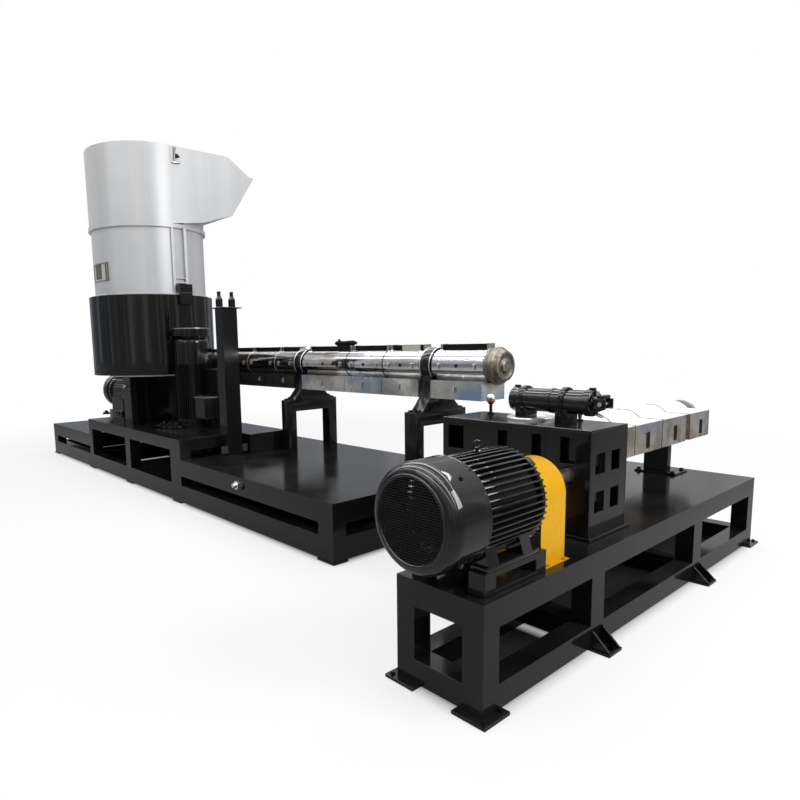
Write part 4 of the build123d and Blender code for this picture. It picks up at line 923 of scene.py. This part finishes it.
# Gear stand: welded plates with windows, a base plate and a top plate, in the same enamel.
# The round joint flange, a lifting ring and an oil filler stand on the top.
finish_node("stand_walls", 0.0015)
finish_node("stand_base", 0.004)
finish_node("stand_top", 0.003)
stand_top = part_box("stand_top")[1].z
flange = turned([(0, 0), (0, 0.152), (0.012, 0.152), (0.016, 0.148), (0.016, 0.108), (0.011, 0.104), (0.011, 0)],
                (3.905, -0.385, stand_top), UP, 64)
finish("stand_round_flange", flange, bright_steel, smooth=35)
ring = bmesh.new()
RING = Vector((4.21, -0.31, stand_top))
hoop(ring, RING + UP * 0.045, (1, 0.35, 0), 0.032, 0.008)
rod(ring, RING, RING + UP * 0.012, 0.018, sides=16)
finish("stand_lifting_ring", ring, gloss_black, smooth=50)
red = mottled("red_plastic", 0, (40, 3), (0.2, 0.022, 0.016), (0.32, 0.04, 0.03), (60, 2),
              0.2, 0.25)
FILLER = (3.55, -0.33, stand_top)
FILLER_PARTS = (
    ("stand_breather_pipe", black, 35, [
        (0, 0), (0, 0.024), (0.01, 0.024), (0.01, 0.011), (0.07, 0.011), (0.07, 0.02), (0.082, 0.02), (0.082, 0)]),
    ("stand_breather_collar", red, 35, [
        (0.082, 0.012), (0.082, 0.026), (0.09, 0.03), (0.1, 0.028), (0.1, 0.012), (0.082, 0.012)]),
    ("stand_breather_dome", chrome, 50, [
        (0.1, 0), (0.1, 0.026), (0.106, 0.03), (0.12, 0.03), (0.132, 0.022), (0.138, 0.01), (0.139, 0)]))
for name, material, smooth, profile in FILLER_PARTS:
    finish(name, turned(profile, FILLER, UP, 24), material, smooth=smooth)


# Hydraulic cylinder: black gloss tube between square-shouldered heads, tied by two bands.
# It has a port at each end, a bolted head, and a clevis with chrome pins, and it lies on two black blocks.
low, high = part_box("ram")
HEAD_R = (high.z - low.z) / 2
TUBE_R = 0.073
BAND_R = 0.0775
BANDS = (0.085, 0.27)
base = Vector((low.x + 0.045, (low.y + high.y) / 2, (low.z + high.z) / 2 - 0.008))
tip = Vector((high.x, base.y, base.z))
length = tip.x - base.x
profile = [(0, 0), (0, HEAD_R - 0.02), *rounded((0, HEAD_R - 0.016), (0.016, HEAD_R), (0, HEAD_R), 4),
           (0.045, HEAD_R), (0.05, TUBE_R)]
for start in BANDS:
    profile += [(start, TUBE_R), (start + 0.002, BAND_R), (start + 0.02, BAND_R), (start + 0.022, TUBE_R)]
profile += [(0.5, TUBE_R), (0.505, HEAD_R), *rounded((0.54, HEAD_R), (0.55, HEAD_R - 0.01), (0.55, HEAD_R), 3),
            (0.552, 0.05), (length - 0.012, 0.042), (length, 0.036), (length, 0)]
finish("ram_cylinder", turned(profile, base, (1, 0, 0), 64), gloss_black, "ram", smooth=35)
ports = bmesh.new()
for along in (0.025, 0.535):
    rod(ports, base + Vector((along, 0, HEAD_R - 0.006)), base + Vector((along, 0, HEAD_R + 0.01)), 0.02, sides=6)
for angle in range(0, 360, 45):
    bolt(ports, base + Vector((0.552, 0, 0)) + round_x(angle, 0.062), (1, 0, 0), 0.018)
for inner, outer in ((-0.052, -0.038), (0.038, 0.052)):
    slab(ports, tip + Vector((-0.05, inner, -0.03)), tip + Vector((0.028, outer, 0.03)), 0.003)
slab(ports, tip + Vector((-0.02, -0.05, 0.028)), tip + Vector((0.01, 0.05, 0.05)), 0.003)
finish("ram_fittings", ports, gloss_black, smooth=35)
pins = bmesh.new()
rod(pins, tip - Vector((0, 0.062, 0)), tip + Vector((0, 0.062, 0)), 0.013, sides=20)
rod(pins, base + Vector((0.555, -0.02, -0.055)), tip + Vector((0.015, -0.055, -0.07)), 0.01, sides=14)
rod(pins, tip + Vector((-0.035, -0.02, 0.05)), tip + Vector((-0.035, -0.02, 0.072)), 0.012, sides=6)
finish("ram_pins", pins, chrome, smooth=35)
finish_node("ram_blocks", 0.003, smooth=35)


# Second barrel: folded stainless covers over the heated barrel, each with a pale lid, on a plate support.
# Each side panel has an upright slot for its heater leads. The joints between the covers have browned with heat.
coat(scorched, "barrel2")
panel_steel, shader, spot = start_material("mottled_stainless")
PANEL_TOP = 1.08
# Painted reflection: the brown mottle stands for the hall mirrored in the side panels, and bluish patches near
# their top stand for light from above mirrored there.
painted_blue_patches = band(noise(spot, 4, 3), 0.4, 0.62)
scale = band(noise(spot, 7, 5), 0.35, 0.7)
painted_hall_reflection = blended(scale, (0.3, 0.27, 0.235), (0.5, 0.47, 0.43))
painted_reflection_height = band(part_of(spot, "Z"), PANEL_TOP - 0.13, PANEL_TOP - 0.02)
spot.feed(shader, {
    "Base Color": blended(painted_blue_patches * painted_reflection_height, painted_hall_reflection, (0.3, 0.36, 0.46)), "Metallic": 0.75,
    "Roughness": scale * 0.2 + 0.2, "Normal": bumped(noise(spot, 5, 3), 0.4, 0.012)})
# The lids are near white: a satin sheet with little metal in it.
lid_steel, shader, spot = start_material("white_lid_sheet")
spot.feed(shader, {
    "Base Color": blended(noise(spot, 6, 4), (0.86, 0.86, 0.86), (0.95, 0.95, 0.94)), "Metallic": 0.1,
    "Roughness": noise(spot, 20, 3) * 0.2 + 0.3, "Normal": bumped(noise(spot, 4, 2), 0.4, 0.02)})
seam_brown, shader, spot = start_material("heat_tinted_seam")
rust = band(noise(spot, 30, 5), 0.35, 0.65)
spot.feed(shader, {
    "Base Color": blended(rust, (0.06, 0.022, 0.012), (0.17, 0.095, 0.055)), "Metallic": 0.6,
    "Roughness": noise(spot, 60, 3) * 0.2 + 0.35})
cover_low, cover_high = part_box("barrel2_covers")
cover_x = centre_of("barrel2_covers").x
HALF = cover_high.x - cover_x
CROWN_R, CROWN_Z = 0.152, 0.985
CROWN_STEPS = 16
PANELS = ((cover_low.y, 0.404), (0.416, 0.852), (0.868, 1.3), (1.385, 1.79))
LID_ENDS = (cover_low.y, 0.41, 0.86, 1.343, 1.79)
LID = 0.004
LID_GAP = 0.004
JOINT_LINE = 0.007
INSET = 0.006


def lid_line(grow):
    """The top line of a cover from side to side: flat, over the round crown, and flat again."""
    radius = CROWN_R + grow
    start = asin((PANEL_TOP + grow - CROWN_Z) / radius)
    angles = [start + (pi - 2 * start) * i / CROWN_STEPS for i in range(CROWN_STEPS + 1)]
    arc = [(cover_x + radius * cos(angle), CROWN_Z + radius * sin(angle)) for angle in angles]
    edge, top_z = HALF + grow * 0.5, PANEL_TOP + grow
    return [(cover_x + edge, top_z), *arc, (cover_x - edge, top_z)]


def cross_section(inset, top):
    """The outline of the covers, or of a body that much smaller inside them."""
    low_z = cover_low.z + inset
    return [(cover_x - HALF + inset, low_z), (cover_x + HALF - inset, low_z), *top]


panels = bmesh.new()
lids = bmesh.new()
seams = bmesh.new()
underside = lid_line(0)[::-1]
for start, end in PANELS:
    prism(panels, cross_section(0, lid_line(-0.002)), (start, end))
for start, end in zip(LID_ENDS, LID_ENDS[1:]):
    prism(lids, [*lid_line(LID), *underside], (start + LID_GAP, end - LID_GAP))
prism(seams, cross_section(INSET, lid_line(-INSET)), (cover_low.y + 0.01, PANELS[-1][1] - 0.01))
for y in LID_ENDS[1:-1]:
    prism(seams, [*lid_line(LID + 0.002), *underside], (y - JOINT_LINE, y + JOINT_LINE))
finish("barrel2_side_panels", panels, panel_steel, "barrel2_covers")
finish("barrel2_lids", lids, lid_steel, smooth=35)
finish("barrel2_seam_backing", seams, seam_brown)
SLOT_YS = (0.14, 0.617, 1.098, 1.609)
SLOT_HALF = 0.026
SLOT_LOW, SLOT_HIGH = 0.899, 1.015
# Painted shade: each slot is a thin dark slab in the panel, not an opening.
slots = bmesh.new()
flanges = bmesh.new()
for y in SLOT_YS:
    slot_end = y + SLOT_HALF
    for x in (cover_x - HALF, cover_x + HALF):
        slab(slots, (x - 0.0012, y - SLOT_HALF, SLOT_LOW), (x + 0.0012, slot_end, SLOT_HIGH))
        slab(flanges, (x - 0.003, slot_end, SLOT_LOW - 0.004), (x + 0.003, slot_end + 0.005, SLOT_HIGH + 0.004))
finish("barrel2_panel_slots", slots, dull_black_and_painted_shade)
finish("barrel2_slot_edges", flanges, zinc)


# Nozzle flange: a turned steel disc on the end of the second barrel, held by a ring of eight bolts.
# Its face stands a little proud of the covers' end.
nozzle_end = Vector((cover_x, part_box("barrel2")[1].y, CROWN_Z))
nozzle = turned([(-0.21, 0), (-0.21, 0.11), (-0.115, 0.11), (-0.115, 0.146), (-0.07, 0.15), (-0.03, 0.15),
                 (-0.025, 0.1), (0, 0.096), (0, 0.03), (-0.03, 0.028), (-0.03, 0)], nozzle_end, (0, 1, 0), 48)
for angle in range(0, 360, 45):
    bolt(nozzle, nozzle_end + Vector((0, -0.03, 0)) + round_y(angle, 0.12), (0, 1, 0), 0.022)
finish("barrel2_nozzle_flange", nozzle, zinc, smooth=35)


# Support of the second barrel: an upright plate column between a foot plate and a seat plate, in black enamel.
# The foot is bolted to the deck. The CAD nodes that are left take the same enamel.
FOOT_THICK = 0.014
NEAR, FAR = 1.48, 1.55
deck_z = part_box("base2_deck")[1].z
foot_top, seat_z = deck_z + FOOT_THICK, cover_low.z
support = bmesh.new()
slab(support, (cover_x - 0.15, NEAR - 0.06, deck_z), (cover_x + 0.19, FAR + 0.12, foot_top), 0.003)
slab(support, (cover_x - 0.1, NEAR, foot_top), (cover_x + 0.1, FAR, seat_z), 0.004)
slab(support, (cover_x - 0.15, NEAR - 0.03, seat_z - 0.016), (cover_x + 0.15, FAR + 0.03, seat_z), 0.003)
for x in (cover_x - 0.125, cover_x + 0.155):
    for y in (NEAR - 0.03, FAR + 0.085):
        bolt(support, (x, y, foot_top), UP, 0.03)
finish("barrel2_plate_support", support, black, "barrel2_support")
coat(black, *sorted(UNCOATED))
